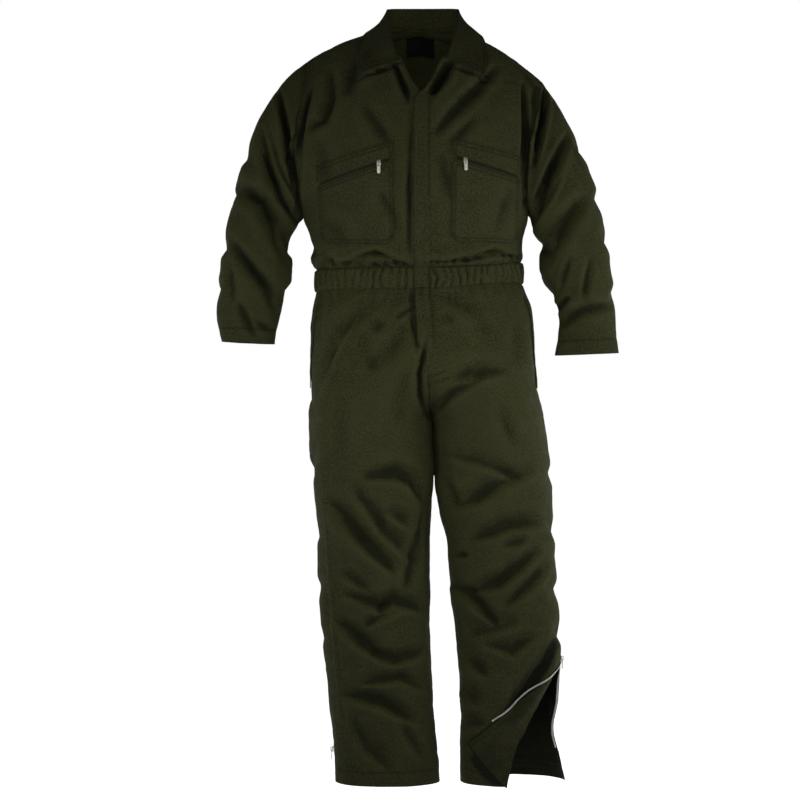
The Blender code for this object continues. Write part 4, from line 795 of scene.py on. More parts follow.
def hollows(outer, inner):
    """How deep the cloth is sunk (above 0) or raised against its surroundings: from -1 to 1, and up to 1.5 in the
    deepest folds."""
    normals = unit(outer - inner)
    across, down = run_from_start(outer, 0)[-1].mean(), run_from_start(outer, 1)[:, -1].mean()
    columns, rows = outer.shape[:2]
    total = np.zeros((columns, rows))
    for reach, share in ((4, 0.15), (8, 0.18), (18, 0.12), (34, 0.06)):
        i, j = (max(1, round(reach * count / max(size, 1))) for count, size in ((columns, across), (rows, down)))
        mean = np.zeros(outer.shape)
        for k in range(8):
            di, dj = round(i * math.cos(k * math.pi / 4)), round(j * math.sin(k * math.pi / 4))
            at_i, at_j = np.clip(np.arange(columns) + di, 0, columns - 1), np.clip(np.arange(rows) + dj, 0, rows - 1)
            mean += outer[at_i][:, at_j] / 8
        total += share * ((mean - outer) * normals).sum(-1)
    return np.tanh(total) + 0.2 * np.clip(total - 2.2, 0, 2.5)


def shell(name, patches, marks, material, shade=None, inside=-1.0):
    """One closed body from walls of (outer, inner) grids that share the points of their common edges. Every patch
    carries its own lengths of cloth as UV, in metres. Each point also gets how sunk the cloth is there plus shade,
    which the twill paints into its colour as painted shade, and as painted highlight where raised; inside is the least
    that the inner side has of it."""
    outers = np.concatenate([outer.reshape(-1, 3) for outer, _ in patches])
    inners = np.concatenate([inner.reshape(-1, 3) for _, inner in patches])
    _, first, index = np.unique(np.round(outers, 3) + 0.0, axis=0, return_index=True, return_inverse=True)
    index = index.reshape(-1)
    quads, uvs, begin = [], [], 0
    for outer, inner in patches:
        columns, rows = outer.shape[:2]
        at = index[begin : begin + columns * rows].reshape(columns, rows)
        begin += columns * rows
        uv = np.stack([run_from_start(outer, 0), run_from_start(outer, 1)], -1) * MM

        def corners(grid):
            return np.stack([grid[:-1, :-1], grid[1:, :-1], grid[1:, 1:], grid[:-1, 1:]], -2)

        crossed = np.cross(outer[1:, 1:] - outer[:-1, :-1], outer[:-1, 1:] - outer[1:, :-1])
        facing = (crossed * (outer - inner)[:-1, :-1]).sum() > 0
        four = corners(at[..., None])[..., 0].reshape(-1, 4)
        four_uv = corners(uv).reshape(-1, 4, 2)
        quads.append(four if facing else four[:, ::-1])
        uvs.append(four_uv if facing else four_uv[:, ::-1])
    quads, uvs = np.concatenate(quads), np.concatenate(uvs)
    faces, face_uvs = [], []
    for four, uv in zip(quads.tolist(), uvs):
        kept = [k for k in range(4) if four[k] != four[k - 1]]
        if len(kept) > 2:
            faces.append([four[k] for k in kept])
            face_uvs.append(uv[kept])
    count = len(first)
    edges = {}
    for face, uv in zip(faces, face_uvs):
        for k in range(len(face)):
            edges[face[k - 1], face[k]] = (uv[k - 1], uv[k])
    rims = [(pair, ends) for pair, ends in edges.items() if pair[::-1] not in edges]
    behind = [[c + count for c in reversed(face)] for face in faces]
    all_uvs = face_uvs + [uv[::-1] for uv in face_uvs]
    all_uvs += [np.array([ends[1], ends[0], ends[0], ends[1]]) for _, ends in rims]
    round_rim = [(b, a, a + count, b + count) for (a, b), _ in rims]
    points = np.concatenate([outers[first], inners[first]]) * MM
    made = mesh_object(name, points.tolist(), faces + behind + round_rim, material)
    mesh = made.data
    mesh.shade_smooth()
    mesh.set_sharp_from_angle(angle=math.radians(62))
    layer = mesh.uv_layers.new(name="cloth")
    layer.uv.foreach_set("vector", np.concatenate(all_uvs).astype(np.float32).ravel())
    values = [np.concatenate([m[k].reshape(-1) for m in marks])[first] for k in range(3)]
    # How sunk each point is plus shade: the amount of painted shade (and, below 0, painted highlight) in the colour.
    sunk = [hollows(*patch) + (0 if shade is None else shade[k]) for k, patch in enumerate(patches)]
    values.append(np.concatenate([part.reshape(-1) for part in sunk])[first] / MM)
    for label, value in zip(("rim", "run", "hem", "hollow_shade"), values):
        within = np.maximum(value, inside / MM) if label == "hollow_shade" else value
        attribute = mesh.attributes.new(label, "FLOAT", "POINT")
        attribute.data.foreach_set("value", np.concatenate([value, within]).astype(np.float32) * MM)
    return made


def mesh_object(name, points, faces, material):
    mesh = bpy.data.meshes.new(name)
    mesh.from_pydata(points, [], faces)
    mesh.materials.append(material)
    made = bpy.data.objects.new(name, mesh)
    bpy.context.scene.collection.objects.link(made)
    return made


# --- Bodice and sleeves ----------------------------------------------------------------------------------------


def bodice_grid(side, face):
    """Columns from the centre to the side, rows from the waist to the shoulder."""
    x, y, z, flat = read(FRONT_CENTRE if face == FRONT else BACK_CENTRE, LEVELS, "x", "y", "z", "flat")
    start = np.stack([CENTRE_X + side * x, y, z], -1)
    x, z, middle, half, turn = read(SIDE_EDGE[side], LEVELS, "x", "z", "middle", "half", "turn")
    end = np.stack([x, middle + face * half, z], -1)
    chord, flat, turn = end - start, flat[:, None], turn[:, None]
    reach = np.linalg.norm(chord, axis=1)[:, None]
    leave = unit(flat * np.array([side, 0.0, 0.0]) + (1 - flat) * chord / reach)
    arrive = unit(turn * np.array([0.0, -face, 0.0]) + (1 - turn) * chord / reach)
    first = (turn * 0.60 * abs(chord[:, :1]) + (1 - turn) * 0.34 * reach) * leave
    last = (turn * 0.58 * abs(chord[:, 1:2]) + (1 - turn) * 0.34 * reach) * arrive
    arch = np.outer(SHOULDER_ARCH * ease((LEVELS - 8) / 3), (0, 0, 1))
    p1, p2 = start + first + arch, end - last + arch
    u = np.linspace(0, 1, ACROSS + 1)[:, None, None]
    v = 1 - u
    return v**3 * start + 3 * v * v * u * p1 + 3 * v * u * u * p2 + u**3 * end


def sleeve_grid(side, front, back):
    """Columns round the sleeve from the armpit over the front, the shoulder and the back; rows to the cuff."""
    loop = np.concatenate([front[-1, ARMPIT:], back[-1, ARMPIT:-1][::-1]])
    count = len(loop) - 1
    known = len(SLEEVE[side]["half"])
    at = np.arange(RINGS * (known - 1) + 1) / RINGS
    rows = [smooth(at, np.arange(known), column) for column in SLEEVE[side].values()]
    turns = 2 * math.pi * np.arange(count + 1)[:, None] / count
    outer_x, outer_z, inner_x, inner_z, half, middle = rows
    outer, inner = np.stack([outer_x, middle, outer_z], -1), np.stack([inner_x, middle, inner_z], -1)
    centre, reach = (outer + inner) / 2, (outer - inner) / 2
    rings = centre - reach * np.cos(turns)[..., None]
    rings[..., 1] -= half * np.sin(turns)
    left_over = loop - rings[:, 0]
    share = np.interp(at, range(6), (1.0, 0.8, 0.5, 0.25, 0.1, 0.0))
    rings += left_over[:, None] * share[:, None]
    rings[-1] = rings[0]
    return rings


def make_bodice():
    """The grids of fronts, back and sleeves, and their normals."""
    grids = {(side, face): bodice_grid(side, face) for side in (RIGHT, LEFT) for face in (FRONT, BACK)}
    for side in (RIGHT, LEFT):
        front, back = grids[side, FRONT], grids[side, BACK]
        back[-1, : ARMPIT + 1], back[:, -1] = front[-1, : ARMPIT + 1], front[:, -1]
        grids[side, "sleeve"] = sleeve_grid(side, front, back)
    grids[LEFT, FRONT][0, : VEE + 1] = grids[RIGHT, FRONT][0, : VEE + 1]
    grids[LEFT, BACK][0, : BACK_NECK + 1] = grids[RIGHT, BACK][0, : BACK_NECK + 1]
    ways = {key: -key[0] * (1 if key[1] == "sleeve" else key[1]) for key in grids}
    limbs = {key: key[0] if key[1] == "sleeve" else 0 for key in grids}

    def normals_now():
        return seam_normals({key: (grids[key], ways[key], limbs[key]) for key in grids})

    normals = normals_now()
    for (side, face), points in grids.items():
        middle, kept = 0.0, 1.0
        if face == "sleeve":
            middle = smooth(np.arange(points.shape[1]) / RINGS, np.arange(13), SLEEVE[side]["middle"])
        else:
            kept = ease(edges_away(points)[2] / 14)
        grids[side, face] = pressed(points, normals[side, face], UPPER_FRONT_FOLDS, UPPER_BACK_FOLDS, middle, kept)
    normals = normals_now()
    for (side, face), points in grids.items():
        down = edges_away(points)[2]
        grids[side, face] = rumpled(points, normals[side, face])
        if face != "sleeve":
            ripple = gathers(round_trunk(points), down, 26.0, 4.0)
            kept = np.exp(-down / 30) * ease(down / 12)
            uneven = 1 + 0.8 * noise_at(points, (34, 34, 60), 12.4)
            full = 4.5 * np.exp(-(((down - 27) / 12) ** 2)) * uneven * ease(down / 8)
            full *= 1 - 0.8 * ease((abs(normals[side, face][..., 0]) - 0.5) / 0.4)
            grids[side, face] = grids[side, face] + normals[side, face] * (3.2 * ripple * kept + full)[..., None]
    return grids, normals_now()


def round_trunk(points):
    """A measure of the way round the trunk, in about a millimetre."""
    return np.degrees(np.arctan2(points[..., 1], points[..., 0] - CENTRE_X)) * 3.2


def gathers(along, down, pitch, seed):
    """Uneven ridges from -1 to 1 that run down the cloth, crowding and forking as elastic draws it in."""
    place = np.stack([along / (3.1 * pitch), down / 60.0, np.full(np.shape(along), seed)], -1)
    drift = noise_at(place, 1.0, seed)
    fine = noise_at(np.stack([along / (0.9 * pitch), down / 34.0, np.full(np.shape(along), seed + 7)], -1), 1.0, seed)
    phase = along / pitch * 2 * np.pi + 4.6 * drift + 1.6 * fine
    return np.sin(phase) * (0.80 + 0.50 * fine) + 0.22 * np.sin(2.3 * phase + 4 * drift)


def tucked(points):
    """Uneven shade where the bodice tucks in above the waistband."""
    ragged = np.clip(0.5 + 1.2 * noise_at(points, (22, 22, 12), 5.1), 0, 1)
    return 0.7 * ragged * np.exp(-(((edges_away(points)[2] - 5) / 10) ** 2))


def sew_bodice(grids, normals):
    twill = MATERIALS["twill"]
    for side in (RIGHT, LEFT):
        sides = wall(grids[side, FRONT], normals[side, FRONT])
        centre = np.where(np.arange(len(LEVELS)) <= VEE, ZIP_HALF_GAP, SEAM_INSET)
        sides = drawn_in(sides, start=centre, end=OUTER_INSET, last=SEAM_INSET)
        marks = marks_of(sides[0], end=True, last=True)
        shade = tucked(sides[0]) + shaded_places(sides[0])
        shell(f"bodice_front_{NAMES[side]}_cloth", [sides], [marks], twill, [shade])
        sides = drawn_in(wall(grids[side, "sleeve"], normals[side, "sleeve"]), first=3 * SEAM_INSET)
        marks = marks_of(sides[0], end=True, first=True, hem=True)
        shell(f"sleeve_{NAMES[side]}_cloth", [sides], [marks], twill, [shaded_places(sides[0])])
    halves = [
        drawn_in(wall(grids[side, BACK], normals[side, BACK]), end=OUTER_INSET, last=SEAM_INSET)
        for side in (RIGHT, LEFT)
    ]
    marks, shade = zip(*((marks_of(half[0], end=True, last=True), tucked(half[0])) for half in halves))
    shell("bodice_back_cloth", halves, marks, twill, shade)


# --- Trousers --------------------------------------------------------------------------------------------------


def trouser_grid(side, face):
    """Columns from the centre line or inseam to the side seam, rows from the waist to the hem."""
    z = TROUSER_ROWS
    names = ("right_out", "middle", "right_in") if side == RIGHT else ("left_out", "middle", "left_in")
    outer, middle, inner = read(TROUSERS_ACROSS, z, *names)
    deep = read(TROUSERS_DEEP, z, "front" if face == FRONT else "back")[0]
    if side == LEFT and face == FRONT:
        outer = outer - read(PARTED, z, "inward")[0]
    joined = 1 - (1 - np.clip((z - CROTCH_Z) / (SEAT_Z - CROTCH_Z), 0, 1) ** 1.5) ** 2
    trunk = joined > 0
    half = np.where(trunk, abs(outer - middle) / (2 - joined), abs(outer - inner) / 2)
    centre = np.where(trunk, middle + side * half * (1 - joined), (outer + inner) / 2)
    u = np.linspace(0, 1, ACROSS + 1)[:, None]
    turn = np.arccos(-((1 - joined) ** (ROUND / 2))) * (1 - u)
    c, s = np.cos(turn), np.maximum(np.sin(turn), 0)
    x = centre + side * half * np.sign(c) * abs(c) ** (2 / ROUND)
    y = face * deep * s ** (2 / ROUND)
    x[0] = np.where(trunk, middle, centre - side * half)
    y[0] = np.where(trunk, y[0], 0.0)
    tilt = WAIST_TILT * ease((x - CENTRE_X) / 203) * ease((z + 600) / 106)
    return np.stack([x, y, z + tilt], -1)


def make_trousers():
    """The grids of the four panels and their normals. Where the thighs touch, one leg's front and the other's back
    reach past the middle, so nothing shows between them."""
    grids = {(side, face): trouser_grid(side, face) for side in (RIGHT, LEFT) for face in (FRONT, BACK)}
    for side in (RIGHT, LEFT):
        front, back = grids[side, FRONT], grids[side, BACK]
        sewn = ZIP_ROW + 1 if side == LEFT else len(TROUSER_ROWS)
        back[-1, :sewn], back[0, CROTCH_ROW:] = front[-1, :sewn], front[0, CROTCH_ROW:]
    for face in (FRONT, BACK):
        grids[LEFT, face][0, : CROTCH_ROW + 1] = grids[RIGHT, face][0, : CROTCH_ROW + 1]
    ways = {key: key[0] * key[1] for key in grids}

    def normals_now():
        return seam_normals({key: (grids[key], ways[key], 0) for key in grids})

    normals = normals_now()
    for key, points in grids.items():
        kept = ease(edges_away(points)[2] / 18)
        points = pressed(points, normals[key], LOWER_FRONT_FOLDS, LOWER_BACK_FOLDS, kept=kept)
        x, y, z = points[..., 0], points[..., 1], points[..., 2]
        near = np.exp(-(((x - read(TROUSERS_ACROSS, z, "middle")[0]) / 26) ** 2))
        near = near * ease((-740 - z) / 20) * ease((z + 885) / 40)
        points[..., 0] -= 4.5 * np.tanh(y / 12) * near
        grids[key] = points
    normals = normals_now()
    for (side, face), points in grids.items():
        down = edges_away(points)[2]
        ripple = gathers(round_trunk(points), down, 22.0, 9.0)
        kept = np.exp(-down / 26) * ease((down + 4) / 12)
        points = rumpled(points, normals[side, face])
        grids[side, face] = points + normals[side, face] * (2.2 * ripple * kept)[..., None]
    return grids, normals_now()


class Leg:
    """A trouser panel unrolled: places on it by distance from the side seam and height."""

    def __init__(self, points, normals):
        self.both = np.concatenate([points, normals], axis=2)[::-1]

    def at(self, distance, z, lift=0.0):
        """(point, normal) at a distance round from the side seam, at height z."""
        row = float(np.interp(-z, -TROUSER_ROWS, range(len(TROUSER_ROWS))))
        low = min(int(row), len(TROUSER_ROWS) - 2)
        found = [along_place(self.both[:, low + k], distance) for k in (0, 1)]
        mixed = found[0] * (1 - row + low) + found[1] * (row - low)
        normal = unit(mixed[3:])
        return mixed[:3] + normal * lift, normal


def turned_back_panel(points, normals):
    """The wearer's left trouser front: below the open zip its outer corner is folded out over the leg. Returns
    the main wall and the folded one, which share the fold line, then the place of a point of the corner before
    its fold, and how far the corner stands off the leg."""
    leg = Leg(points, normals)
    first = ZIP_ROW + 1
    drop = LEG_ZIP_TOP - HEM_Z
    fold = unit(np.array([FOLD_AT_HEM, -drop]))
    beyond = np.array([fold[1], -fold[0]])

    def share(z):
        return (LEG_ZIP_TOP - z) / drop

    def lift(z):
        return FOLD_LIFT[0] + (FOLD_LIFT[1] - FOLD_LIFT[0]) * share(z)

    def reflected(distance, z):
        q = np.array([distance, z - LEG_ZIP_TOP])
        q = 2 * (q @ fold) * fold - q
        return leg.at(q[0], q[1] + LEG_ZIP_TOP)

    main, main_normals = points.copy(), normals.copy()
    both = np.concatenate([points, normals], axis=2)
    for row in range(first, len(TROUSER_ROWS)):
        line = both[:, row]
        kept = length_of(line) - FOLD_AT_HEM * share(TROUSER_ROWS[row])
        for i in range(ACROSS + 1):
            found = along_place(line, kept * i / ACROSS)
            main[i, row], main_normals[i, row] = found[:3], unit(found[3:])
    for row in range(first - 40, first):
        line, even = both[:, row], ease((row - first + 40) / 39)
        run = run_from_start(points[:, row : row + 1], 0)[:, 0]
        for i in range(1, ACROSS):
            found = along_place(line, run[i] + (run[-1] * i / ACROSS - run[i]) * even)
            main[i, row], main_normals[i, row] = found[:3], unit(found[3:])
    outer, inner = wall(main, main_normals)
    roll_outer, roll_inner = [], []
    for row in range(first, len(TROUSER_ROWS)):
        z = TROUSER_ROWS[row]
        gap = lift(z)
        place_at, normal = main[-1, row], main_normals[-1, row]
        inward = unit(leg.at(FOLD_AT_HEM * share(z) + 4, z)[0] - place_at)
        away = unit(beyond[0] * inward + beyond[1] * np.array([0, 0, 1.0]))
        line_out, line_in = [outer[-1, row]], [inner[-1, row]]
        for angle in range(20, 180, 20):
            c, s = math.cos(math.radians(angle)), math.sin(math.radians(angle))
            centre = place_at + normal * gap / 2
            line_out.append(centre + (away * s - normal * c) * gap / 2)
            line_in.append(centre + (away * s - normal * c) * (gap / 2 + CLOTH))
        for k in range(TURNED_COLUMNS + 1):
            distance = share(z) * (FOLD_AT_HEM + (CUT_AT_HEM - FOLD_AT_HEM) * k / TURNED_COLUMNS)
            point, normal = reflected(distance, z)
            line_out.append(point + normal * gap)
            line_in.append(point + normal * (gap + CLOTH))
        roll_outer.append(line_out)
        roll_inner.append(line_in)
    turned = (np.array(roll_outer).transpose(1, 0, 2), np.array(roll_inner).transpose(1, 0, 2))
    return (outer, inner), turned, reflected, lift


TURNED_COLUMNS = 22


def sew_trousers(trousers, normals):
    """Fronts and backs. The wearer's right leg zip is closed and the left one open, its front corner turned
    back. Returns the places and the lift of that corner."""
    twill = MATERIALS["twill"]
    below_zip = TROUSER_ROWS < LEG_ZIP_TOP - 1
    side_edge = np.where(below_zip, 5.0, SEAM_INSET)
    fly = [SEAT_Z - 1, SEAT_Z, SEAT_Z + 20, 0]
    centre = np.interp(TROUSER_ROWS, fly, [SEAM_INSET, 1.5, ZIP_HALF_GAP, ZIP_HALF_GAP])
    for side in (RIGHT, LEFT):
        back = drawn_in(wall(trousers[side, BACK], normals[side, BACK]), start=2 * SEAM_INSET, end=side_edge)
        marks = marks_of(back[0], start=True, end=True, hem=True)
        shell(f"trouser_back_{NAMES[side]}_cloth", [back], [marks], twill, inside=INSIDE_SHADE)
    front = drawn_in(wall(trousers[RIGHT, FRONT], normals[RIGHT, FRONT]), start=centre, end=side_edge)
    marks = marks_of(front[0], end=True, hem=True)
    shell("trouser_front_right_cloth", [front], [marks], twill, [shaded_places(front[0])], INSIDE_SHADE)
    main, turned, reflected, lift = turned_back_panel(trousers[LEFT, FRONT], normals[LEFT, FRONT])
    main = drawn_in(main, start=centre, end=np.where(below_zip, 0.0, SEAM_INSET))
    marks = [marks_of(main[0], end=~below_zip, hem=True), marks_of(turned[0], end=True, hem=True)]
    corner = turned[1]
    edge = np.concatenate([corner[-1, corner.shape[1] // 2 :: 8], corner[:8:-4, -1]])[:, [0, 2]]
    shade = shaded_places(main[0]) + shaded_places(main[0], rows=[(7, 1.0, 0, *edge.ravel())])
    shell("trouser_front_left_cloth", [main, turned], marks, twill, [shade, 0])
    return reflected, lift


# --- Pieces laid on a panel ------------------------------------------------------------------------------------


class Surface:
    """The outer sides of some panels, to lay pockets on and to keep the collar clear of."""

    def __init__(self, grids):
        points, faces = [], []
        for grid in grids:
            start, rows = len(points), grid.shape[1]
            points += [Vector(p) for p in grid.reshape(-1, 3).tolist()]
            for i in range(grid.shape[0] - 1):
                for j in range(rows - 1):
                    a = start + i * rows + j
                    faces += [(a, a + rows, a + rows + 1), (a, a + rows + 1, a + 1)]
        self.tree = BVHTree.FromPolygons(points, faces)

    def front(self, x, z):
        """The point of the front that shows at (x, z), and its normal, evened over a few millimetres."""
        point = self.tree.ray_cast(Vector((x, -500, z)), Vector((0, 1, 0)))[0]
        normal = Vector((0, 0, 0))
        for dx, dz in ((0, 0), (7, 0), (-7, 0), (0, 7), (0, -7)):
            hit = self.tree.ray_cast(Vector((x + dx, -500, z + dz)), Vector((0, 1, 0)))
            if hit[0] is not None:
                normal += hit[1] if hit[1].y < 0 else -hit[1]
        return np.array(point), np.array(normal.normalized())

    def raised(self, sides, gap=LEAST_GAP):
        """The wall, raised where it would come nearer to the panels than gap."""
        outer, inner = (grid.copy() for grid in sides)
        normals = unit(outer - inner)
        for _ in range(3):
            lack = np.zeros(inner.shape[:2])
            for at in np.ndindex(lack.shape):
                far = self.tree.ray_cast(Vector(inner[at] + normals[at] * 25), Vector(-normals[at]), 50)[3]
                if far is not None:
                    lack[at] = max(0.0, 25 + gap - far)
            spread_out = lack.copy()
            for axis, shift in ((0, 1), (0, -1), (1, 1), (1, -1)):
                spread_out = np.maximum(spread_out, 0.8 * np.roll(lack, shift, axis))
            outer, inner = outer + normals * spread_out[..., None], inner + normals * spread_out[..., None]
            if lack.max() < 0.01:
                break
        return outer, inner

    def cleared(self, point, lift, outward):
        """The point, moved out where it is nearer to the panels than lift."""
        near, normal, _, _ = self.tree.find_nearest(Vector(point))
        normal = np.array(normal)
        if normal @ outward < 0:
            normal = -normal
        return point + normal * max(lift - (point - np.array(near)) @ normal, 0)


def laid(surface, outline, columns, rows, lift=LAID_GAP, thickness=TRIM):
    """A wall laid on the front: outline(s, t) gives its (x, z) for s and t from 0 to 1."""
    outer = np.empty((len(columns), len(rows), 3))
    inner = outer.copy()
    for (i, s), (j, t) in ((a, b) for a in enumerate(columns) for b in enumerate(rows)):
        point, normal = surface.front(*outline(s, t))
        outer[i, j], inner[i, j] = point + normal * (lift + thickness), point + normal * lift
    return surface.raised((outer, inner))


def strip(rows, thickness, lift, surface=None, down=False):
    """A wall across rows of (point, normal) pairs, laid on a surface if one is given. With down its rows become
    the grid's rows, and otherwise its columns."""
    outer = np.array([[p + n * (lift + thickness) for p, n in row] for row in rows])
    inner = np.array([[p + n * lift for p, n in row] for row in rows])
    sides = surface.raised((outer, inner)) if surface else (outer, inner)
    return tuple(grid.transpose(1, 0, 2) for grid in sides) if down else sides


def centre_row(right, left, row, offsets):
    """(point, normal) pairs at distances from the centre line along one row of a pair of fronts: negative on the
    wearer's right. Each front is (points, normals), with its first column on the centre line."""
    found = []
    low = min(int(row), right[0].shape[1] - 2)
    for offset in offsets:
        points, normals = right if offset < 0 else left
        both = [np.concatenate([points[:, low + k], normals[:, low + k]], axis=1) for k in (0, 1)]
        mixed = along_place(both[0] * (1 - row + low) + both[1] * (row - low), abs(offset))
        found.append((mixed[:3], unit(mixed[3:])))
    return found


# --- Closure, waistband, collar, label -------------------------------------------------------------------------


def offsets_between(ends, count):
    return ends[0] + (ends[1] - ends[0]) * np.arange(count + 1) / count


def sew_closure(grids, normals, trousers, trouser_normals, surface, low_surface):
    """The placket over the front zip, the facing of the neck opening, the fly and the zip between them."""
    twill = MATERIALS["twill"]
    right, left = ((grids[s, FRONT], normals[s, FRONT]) for s in (RIGHT, LEFT))
    low_right, low_left = ((trousers[s, FRONT], trouser_normals[s, FRONT]) for s in (RIGHT, LEFT))
    fly_rows = [j for j, z in enumerate(TROUSER_ROWS) if z >= FLY_END_Z]

    rows = [centre_row(right, left, j, offsets_between((-16, 15), 10)) for j in range(VEE + 1)]
    foot, top = VEE + 1, int(NECK_EDGE_ROWS[-1])
    for j in range(foot, top + 1):
        narrow = min(1.0, (j - VEE) / (0.3 * FINER))
        ends = (-16 * (1 - narrow), 15 + (8.8 - 15) * narrow)
        rows.append(centre_row(right, left, j, offsets_between(ends, 10)))
    wide = strip(rows, TRIM, LAID_GAP, surface, down=True)
    shell("placket_bodice_cloth", [wide], [one_line(wide[0], True, -316.0)], twill)
    chosen = np.linspace(*NECK_EDGE_ROWS, 16)
    rows = [centre_row(right, left, j, offsets_between((-13, -1.2), 6)) for j in chosen]
    facing = strip(rows, TRIM, LAID_GAP, surface, down=True)
    shell("neck_facing_right_cloth", [facing], [one_line(facing[0])], twill)
    rows = [centre_row(low_right, low_left, j, offsets_between((-14, 18), 10)) for j in fly_rows]
    fly = strip(rows, TRIM, 2 * LAID_GAP, low_surface, down=True)
    shell("placket_fly_cloth", [fly], [one_line(fly[0], True)], twill)

    def chain(pair, chosen):
        return [centre_row(*pair, j, offsets_between((-CHAIN_HALF, CHAIN_HALF), 6)) for j in chosen]

    upper = chain((right, left), range(VEE - FINER, -1, -2))
    lower = chain((low_right, low_left), [j for j in fly_rows if TROUSER_ROWS[j] >= SEAT_Z + 30][::2])
    tape = strip(upper + lower, TAPE, -1.5)
    shell("front_zip_tape", [tape], [marks_of(tape[0])], MATERIALS["zip_tape"])


def sew_waistband(grids, trousers):
    """The elastic waistband: each piece's outer side is gathered over a plain inside. Its top edge follows the
    bodice and its lower edge the trousers."""
    twill = MATERIALS["waistband"]
    walls = {}
    for side in (RIGHT, LEFT):
        for face in (FRONT, BACK):
            top, bottom = grids[side, face][:, 0], trousers[side, face][:, 0]
            count = round(length_of(top) / 1.9)
            upper, lower = spread(top, count), spread(bottom, count)
            tangents = unit(np.gradient(upper, axis=0))
            out = unit(np.cross(tangents, (0, 0, 1.0))) * (-side * face)
            out[0], out[-1] = (0, float(face), 0), (float(side), 0, 0)
            along = np.arange(count + 1) * 1.9 * side
            plain = 1 - ease((18.0 - np.arange(count + 1) * 1.9) / 5) if face == FRONT else np.ones(count + 1)
            plain = plain * ease((count - np.arange(count + 1)) * 1.9 / 6)
            t = np.linspace(0, 1, 15)
            high, low = upper - np.array([0, 0, 0.3]), lower + np.array([0, 0, 0.3])
            middle = high[:, None] + (low - high)[:, None] * t[:, None]
            middle += out[:, None] * (1.6 * np.sin(np.pi * t))[:, None]
            ripple = gathers(along[:, None] + 300 * (face + 2) + 0 * t, 75 * t + 0 * along[:, None], GATHER_PITCH, 21.0)
            ripple = 1.15 * np.sqrt(np.clip(0.5 + 0.5 * ripple, 0, 1.3))
            stitched = 1 - 0.4 * np.exp(-((t / 0.05) ** 2)) - 0.4 * np.exp(-(((1 - t) / 0.05) ** 2))
            height = GATHER_HEIGHT * ripple * plain[:, None] * stitched
            walls[side, face] = (middle + out[:, None] * height[..., None], middle - out[:, None] * CLOTH)
    for side in (RIGHT, LEFT):
        sides = drawn_in(walls[side, FRONT], start=ZIP_HALF_GAP, end=SEAM_INSET)
        shell(f"waistband_front_{NAMES[side]}_cloth", [sides], [marks_of(sides[0])], twill)
    halves = [drawn_in(walls[side, BACK], end=SEAM_INSET) for side in (RIGHT, LEFT)]
    shell("waistband_back_cloth", halves, [marks_of(half[0]) for half in halves], twill)
    rows = []
    for share in np.linspace(0, 1, 12):
        row = []
        for offset in offsets_between((-16, 16), 12):
            side = RIGHT if offset < 0 else LEFT
            top, bottom = grids[side, FRONT][:, 0], trousers[side, FRONT][:, 0]
            high, low = along_place(top, abs(offset)), along_place(bottom, abs(offset))
            row.append((high + (low - high) * (0.02 + 0.9 * share), np.array([0, -1.0, 0])))
        rows.append(row)
    tab = strip(rows, TRIM, LAID_GAP + 2.6, down=True)
    shell("waistband_tab_cloth", [tab], [one_line(tab[0], True)], MATERIALS["twill"])


def sew_collar(grids, surface):
    """Stand and fall in one, folded over at the neck. Its sheet runs up from the neck seam, over the fold and
    down to its outer edge."""
    columns = []
    for side in (RIGHT, LEFT):
        front, back = grids[side, FRONT], grids[side, BACK]
        edge = [front[0, j] for j in range(NECK_POINT, len(LEVELS), 2)]
        edge += [back[0, j] for j in range(len(LEVELS) - 3, BACK_NECK - 1, -2)]
        lengths = np.cumsum([0] + [np.linalg.norm(b - a) for a, b in zip(edge, edge[1:])])
        half = []
        for seam, way in zip(edge, lengths / lengths[-1]):
            off = 8.0 * (1 - 0.75 * ease((way - 0.2) / 0.4))
            values = read(COLLAR, way, "fold_x", "fold_y", "fold_z", "edge_x", "edge_y", "edge_z")
            shift = np.array([CENTRE_X * (1 - way), 0, 0])
            fold = np.array(values[:3]) * np.array([side, 1, 1]) + shift
            rim = np.array(values[3:]) * np.array([side, 1, 1]) + shift
            half.append(collar_column(seam + np.array([0, 0, 0.45]), fold, rim, off, surface))
        columns.append(half)
    sheet = np.array(columns[0] + columns[1][-2::-1])
    way = seam_normals({"collar": (sheet, 1, 0)})["collar"]
    middle = len(sheet) // 2
    if way[middle, 2] @ np.array([0, 1.0, 0]) < 0:
        way = -way
    sheet = sheet + way * (0.5 * noise_at(sheet, 34, 2.2))[..., None]
    top = sheet - way * 2.0
    fall = COLLAR_FOLD_POINT
    top[:, fall:], sheet[:, fall:] = surface.raised((top[:, fall:], sheet[:, fall:]), LAID_GAP)
    marks = marks_of(sheet, start=True, end=True, first=True, last=True)
    shell("collar_cloth", [(sheet, top)], [marks], MATERIALS["collar"])


COLLAR_POINTS = 34  # up the stand and down the fall
COLLAR_FOLD_POINT = 12


